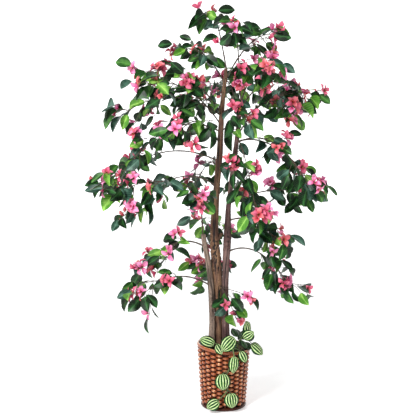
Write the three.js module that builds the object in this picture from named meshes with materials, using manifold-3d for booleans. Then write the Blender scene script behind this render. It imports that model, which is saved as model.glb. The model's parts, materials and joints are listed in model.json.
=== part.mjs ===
// An artificial bougainvillea tree: three natural wood stems stand in a filled wicker basket and
// carry arching wire branches with silk leaves and three-bract blossoms, and striped vine leaves
// lie over the basket's rim.
// Millimetres, +Z up. The origin is the centre of the basket's flat underside. The front is -Y.
import * as THREE from 'three';
import { mergeVertices } from 'three/addons/utils/BufferGeometryUtils.js';
import Module from 'manifold-3d';

const wasm = await Module();
wasm.setup();

const UP = new THREE.Vector3(0, 0, 1);
const FRONT = new THREE.Vector3(0, -1, 0);

// ---------------------------------------------------------------- driving dimensions
const CLEARANCE = 0.3;
const JOINT_GAP = 0.7; // between the middles of two slightly turned ends

const BASKET_HEIGHT = 240;
const BASKET_FOOT_RADIUS = 86;
const BASKET_TOP_RADIUS = 102;
const BASKET_WALL = 8;
const BASKET_FLOOR = 9;
const RIM_HEIGHT = 17;
const RIM_PROUD = 1;
const RIM_ROUNDED = 4;
const RIM_SLOPE = 0.05; // the woven rim stands higher on the left than on the right
const BASKET_SIDES = 32;
const WEAVE_COURSES = 6; // up the wall, each a band of reeds that passes behind every other side
const WEAVE_RELIEF = 3.6;
const FILL_SIDES = 32;
const FILL_GAP = 1.5; // the moss is packed loosely against the wicker
const FILL_SHOULDER = 12;
const FILL_LEVEL = 224; // top of the moss that the stems stand on

// Each stem is a row of rings at even heights from the fill to its top.
const STEM_FOOT = FILL_LEVEL + CLEARANCE;
const STEM_SIDES = 9;
const STEMS = {
  left: {
    top: 668,
    across: [-44, -44, -47, -57, -79],
    deep: [-8, -8, -6, -4, -2],
    radius: [12, 9.5, 9.5, 9.5, 8],
  },
  middle: {
    top: 1290,
    across: [-17, -19, -25, -37, -28, -15, -8, 8],
    deep: [9, 8, 6, 4, 0, 0, 0, 0],
    radius: [17, 13.5, 17, 15, 11, 10.5, 8.5, 5.5],
  },
  right: {
    top: 1180,
    across: [11, 7, 6, 13, 17, 33, 51, 62],
    deep: [-9, -8, -6, -4, -6, -8, -10, -12],
    radius: [13, 10, 10, 12.5, 8, 8, 7.5, 5.5],
  },
};
const STUB = { height: 628, across: 24, rise: 44, radius: 8 }; // sawn fork on the middle stem

const LEAF_LENGTH = 70;
const LEAF_WIDTH = 39;
const LEAF_THICK = 2.2;
const BLOSSOM_RADIUS = 21;
const BLOSSOM_DEPTH = 14;
const BLOSSOM_THROAT = 7;
const ROOT_SUNK = 0.8; // past the middle of the twig
const BLADE_SPACING = 23; // between the blades of one spray
const COMBED = 0.45; // how far the silk blades are turned to the front
const TWIG_LENGTH = 92;
const TWIG_RADIUS = 1.4;
const BOUGH_RADIUS = 3.8;
const BOUGH_SIDES = 5;
const BOUGH_STEPS = 4;
const SPINE_RADIUS = 3;
const SPINE_TIP_RADIUS = 2;
const SPINE_STEPS = 4;
const BOUGH_SHARE = 0.35; // a bare stretch longer than this is a bough of its own
const SWAY = 0.1;
const SPACE_MARGIN = 4.5;
const STEM_MARGIN = 4;
const PATH_STEPS = 12;
const GOLDEN_TURN = 137.5 * Math.PI / 180;

// The habit of a spray. A pair is the middle of a range and how far it varies to either side.
const TWIG_ROLL = [0.4, 0.5]; // radians, round the spine
const TWIG_SPREAD = [0.95, 0.2]; // radians, off the spine
const TWIG_DROOP = [0.28, 0.15]; // of its length
const TWIG_SIZE = [1, 0.25];
const TWIG_TAPER = 0.35; // how much shorter the last twig is
const TWIG_FLATTENED = 0.8; // twigs spread less up and down than sideways
const TWIG_TESTS = [0.4, 0.7, 1];
const TWIG_PLACES = { left: 0.4, right: 0.65, blossom: 0.9, tip: 0.97 }; // shares of the twig
const SPINE_PLACES = { between: 0.42, right: 0.9, left: 0.93, blossom: 0.96, tip: 0.99 };
const LEAF_FOLLOWS = 0.65; // how far a leaf runs on with its twig
const LEAF_OUT = 0.25;
const LEAF_SLANT = 0.9; // how far it turns to the side
const LEAF_TIP_SLANT = [0, 0.3];
const LEAF_DROOP = [0.35, 0.25];
const LEAF_SIZE = [1, 0.12];
const LEAF_SMALL = 0.95;
const LEAF_LARGE = 1.05;
const LEAF_FACE_UP = 0.5;
const BLOSSOM_FOLLOWS = 0.5;
const BLOSSOM_OUT = 0.8;
const BLOSSOM_SWAY = [0, 0.6];
const BLOSSOM_RISE = [0.25, 0.4];
const BLOSSOM_FACING = new THREE.Vector3(0.1, 0.2, 1);

const VINE_RADIUS = 2.6;
const VINE_FOOT = FILL_LEVEL + CLEARANCE + 0.2;
const STALK_RADIUS = 1.7;
const STRIPED_FACE_UP = 0.8;

// name, stem, height where it leaves the stem, turn round the stem in degrees from +X,
// reach of its tip, height of its tip, rise of its arch, bare share, side twigs
const BRANCH_TABLE = [
  ['leader_left', 'middle', 1290, 159, 50, 1502, -75, 0.15, 3],
  ['leader_right', 'right', 1180, -100, 120, 1444, -65, 0.25, 3],
  ['top_right', 'middle', 1240, 9, 180, 1416, 10, 0.33, 4],
  ['top_left', 'middle', 1235, 154, 170, 1362, 25, 0.28, 4],
  ['upper_left', 'middle', 1080, -153, 300, 1222, 60, 0.37, 4],
  ['upper_right', 'right', 1090, -1, 290, 1192, 40, 0.44, 4],
  ['upper_back_right', 'right', 1140, 38, 265, 1218, 75, 0.28, 4],
  ['left_shoulder', 'middle', 1115, 174, 380, 1114, 140, 0.37, 4],
  ['front_right_high', 'right', 1160, -78, 365, 1270, 100, 0.34, 4],
  ['front_high', 'middle', 1125, -68, 225, 1102, 45, 0.3, 4],
  ['right_shoulder', 'right', 1040, -51, 260, 1140, 95, 0.37, 4],
  ['back_high', 'middle', 1140, 123, 220, 1162, 30, 0.32, 4],
  ['back_right_high', 'right', 1075, 105, 325, 1222, 100, 0.31, 4],
  ['back_left_high', 'middle', 1120, 159, 320, 1268, 80, 0.43, 4],
  ['front_left_high', 'middle', 1010, -120, 285, 1064, 90, 0.4, 4],
  ['left_back_mid', 'middle', 1055, -169, 390, 876, 110, 0.41, 4],
  ['left_mid', 'middle', 945, 165, 465, 836, 110, 0.5, 4],
  ['front_left_mid', 'middle', 790, -153, 410, 842, 95, 0.48, 4],
  ['front_mid_left', 'left', 668, -100, 110, 832, 25, 0.32, 4],
  ['front_mid', 'middle', 1055, -64, 285, 760, 90, 0.31, 4],
  ['right_mid_high', 'right', 1020, 4, 300, 832, 45, 0.39, 4],
  ['right_mid', 'right', 785, 27, 380, 800, 60, 0.46, 4],
  ['front_right_mid', 'right', 1015, -50, 370, 884, 80, 0.28, 4],
  ['right_front_mid', 'right', 720, -48, 245, 678, 50, 0.48, 4],
  ['back_right_mid', 'right', 830, 65, 260, 742, 50, 0.42, 4],
  ['back_mid', 'middle', 905, 107, 275, 854, 80, 0.3, 4],
  ['back_left_mid', 'middle', 850, 150, 395, 710, 110, 0.48, 4],
  ['left_low', 'left', 620, -158, 235, 554, 75, 0.4, 4],
  ['left_front_low', 'left', 470, -142, 320, 472, 105, 0.5, 4],
  ['front_low', 'middle', 470, -57, 85, 408, 10, 0.29, 3],
  ['right_low', 'right', 600, -4, 250, 456, 70, 0.48, 4],
  ['back_low', 'middle', 670, 92, 330, 620, 100, 0.48, 4],
  ['back_left_low', 'left', 490, 92, 160, 510, 30, 0.37, 4],
];

// Striped vine. Its route gives the turn round the basket in degrees, the distance from the axis
// and the height. A leaf gives its share of the route, its stalk's run and the direction of its
// point, each as outward, round and up, and its length and width.
const STRIPED = {
  striped_leaves_left: {
    route: [[-116, 62, VINE_FOOT], [-116, 62, 240], [-112, 74, 262]],
    leaves: [
      [0.92, [-1, -8, -1], [0.25, -0.9, 0.35], 60, 46],
      [0.97, [11, 5, 0], [0.75, 0.6, -0.3], 54, 36],
    ],
  },
  striped_leaves_right: {
    route: [[-30, 62, VINE_FOOT], [-30, 62, 244], [-26, 80, 284]],
    leaves: [
      [0.97, [19, 13, 7], [0.1, -0.3, 1], 54, 46],
      [0.93, [17, -24, 2], [0.75, -0.1, 0.5], 50, 44],
      [0.85, [38, 13, -18], [0.85, 0.25, -0.65], 60, 48],
    ],
  },
  striped_vine: {
    route: [
      [-84, 62, VINE_FOOT],
      [-84, 62, 242],
      [-80, 88, 264],
      [-74, 112, 258],
      [-72, 117, 205],
      [-86, 114, 150],
      [-83, 108, 92],
      [-97, 105, 60],
    ],
    leaves: [
      [0.3, [11, 20, 29], [0.3, -0.65, -0.55], 68, 58],
      [0.45, [-8, 33, -14], [0.4, 0.35, -0.8], 46, 38],
      [0.5, [0, 3, -10], [0.25, -0.15, -1], 64, 42],
      [0.66, [-1, -24, -12], [0.2, 0.05, -1], 64, 62],
      [0.85, [0, 12, -13], [0.25, 0.1, -1], 58, 58],
      [0.98, [-4, -10, -17], [0.3, -0.8, -0.4], 52, 48],
    ],
  },
};

// ---------------------------------------------------------------- solids
function solidOf(geometry) {
  geometry.deleteAttribute('normal');
  geometry.deleteAttribute('uv');
  const merged = mergeVertices(geometry, 1e-3);
  return new wasm.Manifold(new wasm.Mesh({
    numProp: 3,
    vertProperties: new Float32Array(merged.attributes.position.array),
    triVerts: new Uint32Array(merged.index.array),
  }));
}

function polyhedron(points, faces) {
  return new wasm.Manifold(new wasm.Mesh({
    numProp: 3,
    vertProperties: Float32Array.from(points.flatMap((point) => point.toArray())),
    triVerts: Uint32Array.from(faces.flat()),
  }));
}

function geometryOf(solid) {
  const mesh = solid.getMesh();
  const geometry = new THREE.BufferGeometry();
  geometry.setAttribute('position', new THREE.BufferAttribute(mesh.vertProperties, 3));
  geometry.setIndex(new THREE.BufferAttribute(mesh.triVerts, 1));
  return geometry;
}

function unionOf(solids) {
  return solids.reduce((whole, solid) => whole.add(solid));
}

// A closed tube whose rings follow place(share) and radius(share), both from 0 to 1.
function limb(place, radius, sides, steps) {
  const geometry = new THREE.CylinderGeometry(1, 1, 1, sides, steps);
  const position = geometry.attributes.position;
  const run = place(1).sub(place(0)).normalize();
  const reference = Math.abs(run.z) > 0.8 ? new THREE.Vector3(1, 0, 0) : new THREE.Vector3(0, 0, 1);
  const point = new THREE.Vector3();
  for (let i = 0; i < position.count; i += 1) {
    point.fromBufferAttribute(position, i);
    const share = THREE.MathUtils.clamp(point.y + 0.5, 0, 1);
    const before = place(Math.max(share - 0.02, 0));
    const tangent = place(Math.min(share + 0.02, 1)).sub(before).normalize();
    const side = new THREE.Vector3().crossVectors(reference, tangent).normalize();
    const over = new THREE.Vector3().crossVectors(tangent, side);
    const ring = radius(share);
    const moved = place(share).addScaledVector(over, point.x * ring).addScaledVector(side, point.z * ring);
    position.setXYZ(i, moved.x, moved.y, moved.z);
  }
  return solidOf(geometry);
}

// ---------------------------------------------------------------- basket and fill
function leanRim(geometry) {
  const position = geometry.attributes.position;
  for (let i = 0; i < position.count; i += 1) {
    const lift = 1 - RIM_SLOPE * position.getX(i) / BASKET_TOP_RADIUS;
    position.setZ(i, position.getZ(i) * lift);
  }
  return geometry;
}

function turned(profile, sides) {
  const points = profile.map(([radius, height]) => new THREE.Vector2(radius, height));
  return new THREE.LatheGeometry(points, sides).rotateX(Math.PI / 2);
}

function wallRadius(height) {
  return THREE.MathUtils.lerp(BASKET_FOOT_RADIUS, BASKET_TOP_RADIUS, height / BASKET_HEIGHT);
}

// In the middle of each course every other side of the wall turns in, and in the next course the
// sides between them do.
function weave(geometry, course) {
  const position = geometry.attributes.position;
  for (let i = 0; i < position.count; i += 1) {
    const x = position.getX(i);
    const y = position.getY(i);
    const radius = Math.hypot(x, y);
    const rows = position.getZ(i) / course;
    const isMiddle = Math.abs(rows % 1 - 0.5) < 0.01 && rows < WEAVE_COURSES;
    const side = Math.round(Math.atan2(y, x) * BASKET_SIDES / (2 * Math.PI)) + BASKET_SIDES;
    if (isMiddle && radius > 0 && (side + Math.floor(rows)) % 2 === 1) {
      const share = (radius - WEAVE_RELIEF) / radius;
      position.setXY(i, x * share, y * share);
    }
  }
  return geometry;
}

function basketGeometry() {
  const band = BASKET_HEIGHT - RIM_HEIGHT;
  const course = band / WEAVE_COURSES;
  const inner = (height) => wallRadius(height) - BASKET_WALL;
  const wall = [];
  for (let half = 0; half <= 2 * WEAVE_COURSES; half += 1) {
    const height = half * course / 2;
    wall.push([wallRadius(height), height]);
  }
  const geometry = turned([
    [0, 0],
    ...wall,
    [wallRadius(band) + RIM_PROUD, band + RIM_ROUNDED / 2],
    [BASKET_TOP_RADIUS + RIM_PROUD, BASKET_HEIGHT - RIM_ROUNDED],
    [BASKET_TOP_RADIUS, BASKET_HEIGHT],
    [inner(BASKET_HEIGHT) + 1, BASKET_HEIGHT],
    [inner(band), band],
    [inner(BASKET_FLOOR), BASKET_FLOOR],
    [0, BASKET_FLOOR],
  ], BASKET_SIDES);
  return geometryOf(solidOf(leanRim(weave(geometry, course))));
}

function fillGeometry() {
  const foot = BASKET_FLOOR + FILL_GAP;
  const inner = (height) => wallRadius(height) - BASKET_WALL - FILL_GAP;
  const shoulder = FILL_LEVEL - FILL_SHOULDER;
  const geometry = turned([
    [0, foot],
    [inner(foot), foot],
    [inner(shoulder), shoulder],
    [inner(shoulder) - FILL_SHOULDER, FILL_LEVEL],
    [0, FILL_LEVEL],
  ], FILL_SIDES);
  return geometryOf(solidOf(geometry));
}

// ---------------------------------------------------------------- stems
function alongStem(values, stem, height) {
  const last = values.length - 1;
  const place = THREE.MathUtils.clamp((height - STEM_FOOT) / (stem.top - STEM_FOOT), 0, 1) * last;
  const ring = Math.min(Math.floor(place), last - 1);
  return THREE.MathUtils.lerp(values[ring], values[ring + 1], place - ring);
}

function stemAxis(stem, height) {
  const across = alongStem(stem.across, stem, height);
  const deep = alongStem(stem.deep, stem, height);
  return new THREE.Vector3(across, deep, height);
}

// A stem, or with a swell the space that its branches stay clear of.
function stemSolid(stem, swell = 0) {
  const rings = stem.radius.length - 1;
  const low = STEM_FOOT - swell;
  const high = stem.top + swell;
  const geometry = new THREE.CylinderGeometry(1, 1, 1, STEM_SIDES, rings).rotateX(Math.PI / 2);
  const position = geometry.attributes.position;
  for (let i = 0; i < position.count; i += 1) {
    const share = position.getZ(i) + 0.5;
    const height = THREE.MathUtils.lerp(STEM_FOOT, stem.top, share);
    const axis = stemAxis(stem, height);
    const ring = alongStem(stem.radius, stem, height) + swell;
    position.setXYZ(
      i,
      axis.x + position.getX(i) * ring,
      axis.y + position.getY(i) * ring,
      THREE.MathUtils.lerp(low, high, share),
    );
  }
  return solidOf(geometry);
}

function stubSolid(swell = 0) {
  const start = stemAxis(STEMS.middle, STUB.height);
  const end = start.clone().add(new THREE.Vector3(STUB.across, -2, STUB.rise));
  const ray = end.clone().sub(start).normalize();
  end.addScaledVector(ray, swell);
  return limb((share) => start.clone().lerp(end, share), () => STUB.radius + swell, 8, 1);
}

function stemWithStub(name, swell = 0) {
  const solid = stemSolid(STEMS[name], swell);
  return name === 'middle' ? solid.add(stubSolid(swell)) : solid;
}

const stemSolids = {};
const stemSpaces = {};
for (const name of Object.keys(STEMS)) {
  stemSolids[name] = stemWithStub(name);
  stemSpaces[name] = stemWithStub(name, CLEARANCE);
}

// ---------------------------------------------------------------- branches
function seeded(seed) {
  let state = seed;
  return () => {
    state = (Math.imul(state, 1664525) + 1013904223) >>> 0;
    return state / 4294967296;
  };
}

function branchOf(row, index) {
  const [name, stem, leaves, turn, reach, tipHeight, rise, bare, twigs] = row;
  const random = seeded(7919 * (index + 1));
  const angle = turn * Math.PI / 180;
  const outward = new THREE.Vector3(Math.cos(angle), Math.sin(angle), 0);
  const sideways = new THREE.Vector3(-outward.y, outward.x, 0);
  const start = stemAxis(STEMS[stem], leaves);
  const tip = start.clone().addScaledVector(outward, reach).setZ(tipHeight);
  const bend = start.clone().addScaledVector(outward, reach / 2);
  bend.addScaledVector(sideways, SWAY * reach * (2 * random() - 1));
  bend.setZ(Math.max(leaves, tipHeight) + rise);
  const curve = new THREE.QuadraticBezierCurve3(start, bend, tip);
  const marks = [];
  for (let i = 0; i <= PATH_STEPS; i += 1) {
    marks.push(curve.getPoint(i / PATH_STEPS));
  }
  const hasBough = bare > BOUGH_SHARE;
  const spineStart = hasBough ? bare + JOINT_GAP / curve.getLength() : 0;
  return { name, stem, bare, twigs, random, outward, curve, marks, hasBough, spineStart };
}

const branches = BRANCH_TABLE.map(branchOf);

function distanceToPath(point, marks, first, last) {
  let nearest = Infinity;
  const line = new THREE.Line3();
  const foot = new THREE.Vector3();
  for (let i = first; i < last; i += 1) {
    line.set(marks[i], marks[i + 1]);
    line.closestPointToPoint(point, true, foot);
    nearest = Math.min(nearest, foot.distanceTo(point));
  }
  return nearest;
}

// A branch's own space is nearer to it than to any other branch, and clear of the stems.
function inOwnSpace(point, branch) {
  const own = distanceToPath(point, branch.marks, 0, PATH_STEPS);
  for (const other of branches) {
    if (other !== branch && distanceToPath(point, other.marks, 0, PATH_STEPS) < own + SPACE_MARGIN) {
      return false;
    }
  }
  for (const stem of Object.values(STEMS)) {
    const axis = stemAxis(stem, Math.min(point.z, stem.top));
    if (axis.distanceTo(point) < alongStem(stem.radius, stem, point.z) + STEM_MARGIN) {
      return false;
    }
  }
  if (branch.hasBough) {
    const boughSteps = Math.floor(branch.bare * PATH_STEPS);
    return distanceToPath(point, branch.marks, 0, boughSteps) > BOUGH_RADIUS + 2;
  }
  return true;
}

// ---------------------------------------------------------------- leaves, blossoms and twigs
// Blade directions: forward to the point, across, and face, the side that looks up and outward.
function bladeFrame(along, facing) {
  const forward = along.clone().normalize();
  const across = new THREE.Vector3().crossVectors(facing, forward).normalize();
  const face = new THREE.Vector3().crossVectors(forward, across);
  return { forward, across, face };
}

function leafPoint(leaf, share, side, lift) {
  return leaf.root.clone()
    .addScaledVector(leaf.frame.forward, share * leaf.length)
    .addScaledVector(leaf.frame.across, side * leaf.width / 2)
    .addScaledVector(leaf.frame.face, lift);
}

function leafSolid(leaf) {
  const root = leafPoint(leaf, -ROOT_SUNK / leaf.length, 0, 0);
  const left = leafPoint(leaf, 0.42, 1, 0);
  const tip = leafPoint(leaf, 1, 0, 0);
  const right = leafPoint(leaf, 0.42, -1, 0);
  const top = leafPoint(leaf, 0.28, 0, LEAF_THICK);
  return polyhedron([root, right, tip, left, top], [
    [0, 1, 4],
    [1, 2, 4],
    [2, 3, 4],
    [3, 0, 4],
    [1, 0, 3],
    [2, 1, 3],
  ]);
}

function leafFits(leaf, branch) {
  const tests = [[0.2, 0], [0.42, 0], [0.42, 1], [0.42, -1], [0.7, 0.5], [0.7, -0.5], [1, 0]];
  return tests.every(([share, side]) => inOwnSpace(leafPoint(leaf, share, side, 0), branch));
}

// Three bracts round a throat: a three-cornered cup.
function bractTips(blossom) {
  const { forward, across, face } = blossom.frame;
  return [0, 1, 2].map((bract) => {
    const angle = bract * 2 * Math.PI / 3;
    return blossom.root.clone()
      .addScaledVector(forward, BLOSSOM_DEPTH)
      .addScaledVector(across, BLOSSOM_RADIUS * Math.cos(angle))
      .addScaledVector(face, BLOSSOM_RADIUS * Math.sin(angle));
  });
}

function blossomSolid(blossom) {
  const under = blossom.root.clone().addScaledVector(blossom.frame.forward, -ROOT_SUNK);
  const throat = blossom.root.clone().addScaledVector(blossom.frame.forward, BLOSSOM_THROAT);
  return polyhedron([...bractTips(blossom), under, throat], [
    [0, 1, 4],
    [1, 2, 4],
    [2, 0, 4],
    [1, 0, 3],
    [2, 1, 3],
    [0, 2, 3],
  ]);
}

function blossomFits(blossom, branch) {
  const tips = bractTips(blossom);
  const edges = tips.map((tip, i) => tip.clone().lerp(tips[(i + 1) % 3], 0.5));
  return [...tips, ...edges].every((point) => inOwnSpace(point, branch));
}

function twigFits(twig, branch) {
  return TWIG_TESTS.every((share) => inOwnSpace(twig.root.clone().lerp(twig.tip, share), branch));
}

// ---------------------------------------------------------------- the growth rule
// Side twigs turn round the spine by the golden angle and droop. Each ends in a blossom and a
// leaf, with leaves left and right behind them, and the spine carries a leaf between its twigs.
function growSpray(branch) {
  const { random, outward } = branch;
  const spray = { twigs: [], leaves: [], blossoms: [], taken: [] };
  const vary = ([middle, spread]) => middle + spread * (2 * random() - 1);
  const across = new THREE.Vector3(-outward.y, outward.x, 0);
  const isFree = (point) => spray.taken.every((other) => other.distanceTo(point) > BLADE_SPACING);

  function addLeaf(root, run, side, slant, size) {
    const along = run.clone().multiplyScalar(LEAF_FOLLOWS).addScaledVector(side, slant);
    along.addScaledVector(outward, LEAF_OUT);
    along.z -= vary(LEAF_DROOP);
    const swing = vary([0, Math.PI]);
    const facing = outward.clone().multiplyScalar(Math.cos(swing));
    facing.addScaledVector(across, Math.sin(swing));
    facing.addScaledVector(FRONT, COMBED).addScaledVector(UP, LEAF_FACE_UP);
    const length = LEAF_LENGTH * size * vary(LEAF_SIZE);
    const width = length * LEAF_WIDTH / LEAF_LENGTH;
    const leaf = { root, frame: bladeFrame(along, facing), length, width };
    const middles = [0.3, 0.6, 0.9].map((share) => leafPoint(leaf, share, 0, 0));
    if (middles.every(isFree) && leafFits(leaf, branch)) {
      spray.leaves.push(leaf);
      spray.taken.push(...middles);
    }
  }

  function addBlossom(root, run, side) {
    const along = run.clone().multiplyScalar(BLOSSOM_FOLLOWS).addScaledVector(outward, BLOSSOM_OUT);
    along.addScaledVector(side, vary(BLOSSOM_SWAY));
    along.z += vary(BLOSSOM_RISE);
    const blossom = { root, frame: bladeFrame(along, BLOSSOM_FACING) };
    const middle = root.clone().addScaledVector(blossom.frame.forward, BLOSSOM_DEPTH);
    if (isFree(middle) && blossomFits(blossom, branch)) {
      spray.blossoms.push(blossom);
      spray.taken.push(middle);
    }
  }

  function addTwig(root, run, side, length) {
    const spread = vary(TWIG_SPREAD);
    const ray = run.clone().multiplyScalar(Math.cos(spread)).addScaledVector(side, Math.sin(spread));
    const tip = root.clone().addScaledVector(ray, length);
    tip.z -= length * vary(TWIG_DROOP);
    const twig = { root, tip };
    if (!twigFits(twig, branch)) {
      return false;
    }
    spray.twigs.push(twig);
    const along = tip.clone().sub(root).normalize();
    const cross = new THREE.Vector3().crossVectors(along, UP).normalize();
    const at = (share) => root.clone().lerp(tip, share);
    addBlossom(at(TWIG_PLACES.blossom), along, cross);
    addLeaf(at(TWIG_PLACES.tip), along, cross, vary(LEAF_TIP_SLANT), 1);
    addLeaf(at(TWIG_PLACES.left), along, cross, LEAF_SLANT, LEAF_SMALL);
    addLeaf(at(TWIG_PLACES.right), along, cross, -LEAF_SLANT, LEAF_SMALL);
    return true;
  }

  const open = 1 - branch.bare;
  for (let i = 0; i < branch.twigs; i += 1) {
    const share = branch.bare + open * (i + 0.5) / branch.twigs;
    const run = branch.curve.getTangent(share);
    const over = new THREE.Vector3().crossVectors(run, across).normalize();
    const roll = i * GOLDEN_TURN + vary(TWIG_ROLL);
    const side = across.clone().multiplyScalar(Math.cos(roll));
    side.addScaledVector(over, TWIG_FLATTENED * Math.sin(roll));
    const length = TWIG_LENGTH * vary(TWIG_SIZE) * (1 - TWIG_TAPER * i / branch.twigs);
    if (!addTwig(spinePoint(branch, share), run, side, length)) {
      addLeaf(spinePoint(branch, share), run, side, LEAF_SLANT, 1);
    }
    const between = share - open * SPINE_PLACES.between / branch.twigs;
    addLeaf(spinePoint(branch, between), run, side, -LEAF_SLANT, 1);
  }
  const run = branch.curve.getTangent(1);
  addBlossom(spinePoint(branch, SPINE_PLACES.blossom), run, across);
  addLeaf(spinePoint(branch, SPINE_PLACES.tip), run, across, vary(LEAF_TIP_SLANT), LEAF_LARGE);
  addLeaf(spinePoint(branch, SPINE_PLACES.left), run, across, LEAF_SLANT, 1);
  addLeaf(spinePoint(branch, SPINE_PLACES.right), run, across, -LEAF_SLANT, 1);
  return spray;
}

// The spine is the stem of a mass: straight stretches between points of the branch's curve.
function spinePoint(branch, share) {
  const place = SPINE_STEPS * (share - branch.spineStart) / (1 - branch.spineStart);
  const step = THREE.MathUtils.clamp(Math.floor(place), 0, SPINE_STEPS - 1);
  const ringShare = (ring) => THREE.MathUtils.lerp(branch.spineStart, 1, ring / SPINE_STEPS);
  const start = branch.curve.getPoint(ringShare(step));
  return start.lerp(branch.curve.getPoint(ringShare(step + 1)), place - step);
}

function boughSolid(branch) {
  const place = (share) => branch.curve.getPoint(share * branch.bare);
  const radius = (share) => THREE.MathUtils.lerp(BOUGH_RADIUS, SPINE_RADIUS, share);
  return limb(place, radius, BOUGH_SIDES, BOUGH_STEPS).subtract(stemSpaces[branch.stem]);
}

function massSolid(branch) {
  const spine = (share) => spinePoint(branch, THREE.MathUtils.lerp(branch.spineStart, 1, share));
  const spineRadius = (share) => THREE.MathUtils.lerp(SPINE_RADIUS, SPINE_TIP_RADIUS, share);
  const spray = growSpray(branch);
  const parts = [limb(spine, spineRadius, 3, SPINE_STEPS)];
  for (const { root, tip } of spray.twigs) {
    parts.push(limb((share) => root.clone().lerp(tip, share), () => TWIG_RADIUS, 3, 1));
  }
  parts.push(...spray.leaves.map(leafSolid), ...spray.blossoms.map(blossomSolid));
  const whole = unionOf(parts);
  return branch.hasBough ? whole : whole.subtract(stemSpaces[branch.stem]);
}

// ---------------------------------------------------------------- striped leaves on the rim
function roundBasket(turn, radius, height) {
  const angle = turn * Math.PI / 180;
  return new THREE.Vector3(radius * Math.cos(angle), radius * Math.sin(angle), height);
}

function stripedLeafSolid(leaf) {
  const left = [[-0.02, 0.1], [0.22, 0.85], [0.62, 0.9]];
  const right = left.map(([share, side]) => [share, -side]).reverse();
  const outline = [...left, [1, 0], ...right];
  const points = outline.map(([share, side]) => leafPoint(leaf, share, side, 0));
  const top = points.length;
  const faces = [];
  for (let i = 0; i < top; i += 1) {
    faces.push([(i + 1) % top, i, top]);
    if (i > 1) {
      faces.push([0, i - 1, i]);
    }
  }
  return polyhedron([...points, leafPoint(leaf, 0.4, 0, LEAF_THICK)], faces);
}

function stripedSolid({ route, leaves }) {
  const points = route.map((place) => roundBasket(...place));
  const curve = new THREE.CatmullRomCurve3(points);
  const steps = 2 * points.length - 3;
  const parts = [limb((share) => curve.getPoint(share), () => VINE_RADIUS, 4, steps)];
  for (const [share, stalk, point, length, width] of leaves) {
    const joint = curve.getPoint(share);
    const outward = new THREE.Vector3(joint.x, joint.y, 0).normalize();
    const round = new THREE.Vector3(-outward.y, outward.x, 0);
    const run = ([out, sideways, up]) => outward.clone().multiplyScalar(out)
      .addScaledVector(round, sideways).addScaledVector(UP, up);
    const root = joint.clone().add(run(stalk));
    const facing = outward.clone().addScaledVector(UP, STRIPED_FACE_UP);
    const frame = bladeFrame(run(point), facing);
    const sunk = root.clone().addScaledVector(frame.forward, STALK_RADIUS * 2);
    parts.push(limb((part) => joint.clone().lerp(sunk, part), () => STALK_RADIUS, 3, 1));
    parts.push(stripedLeafSolid({ root, frame, length, width }));
  }
  return unionOf(parts);
}

// ---------------------------------------------------------------- the tree
const MATERIALS = {
  wicker: new THREE.MeshStandardMaterial({ color: 0xa15a3c, roughness: 0.6 }),
  moss: new THREE.MeshStandardMaterial({ color: 0x5a4a2c, roughness: 0.95 }),
  bark: new THREE.MeshStandardMaterial({ color: 0x7a6352, roughness: 0.85 }),
  bough: new THREE.MeshStandardMaterial({ color: 0x4a4634, roughness: 0.7 }),
  foliage: new THREE.MeshStandardMaterial({ color: 0x2c5a34, roughness: 0.5 }),
  striped: new THREE.MeshStandardMaterial({ color: 0x4d8a4a, roughness: 0.45 }),
};

const tree = new THREE.Group();

function addNode(name, geometry, material) {
  const mesh = new THREE.Mesh(geometry, material);
  mesh.name = name;
  tree.add(mesh);
}

addNode('basket', basketGeometry(), MATERIALS.wicker);
addNode('moss_fill', fillGeometry(), MATERIALS.moss);
for (const [name, solid] of Object.entries(stemSolids)) {
  addNode(`stem_${name}`, geometryOf(solid), MATERIALS.bark);
}
for (const branch of branches) {
  if (branch.hasBough) {
    addNode(`bough_${branch.name}`, geometryOf(boughSolid(branch)), MATERIALS.bough);
  }
  addNode(`mass_${branch.name}`, geometryOf(massSolid(branch)), MATERIALS.foliage);
}
for (const [name, cluster] of Object.entries(STRIPED)) {
  addNode(name, geometryOf(stripedSolid(cluster)), MATERIALS.striped);
}

export default tree;
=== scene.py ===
# An artificial bougainvillea tree: three natural wood stems stand in a filled wicker basket and
# carry arching taped wires with silk leaves and blossoms. Striped vine leaves hang over the rim.
# Metres, +Z up. The origin is the centre of the basket's flat underside. The front is -Y.
import json
import math
from types import SimpleNamespace

import bmesh
import bpy
import numpy as np
from mathutils import Matrix, Vector, noise

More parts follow.
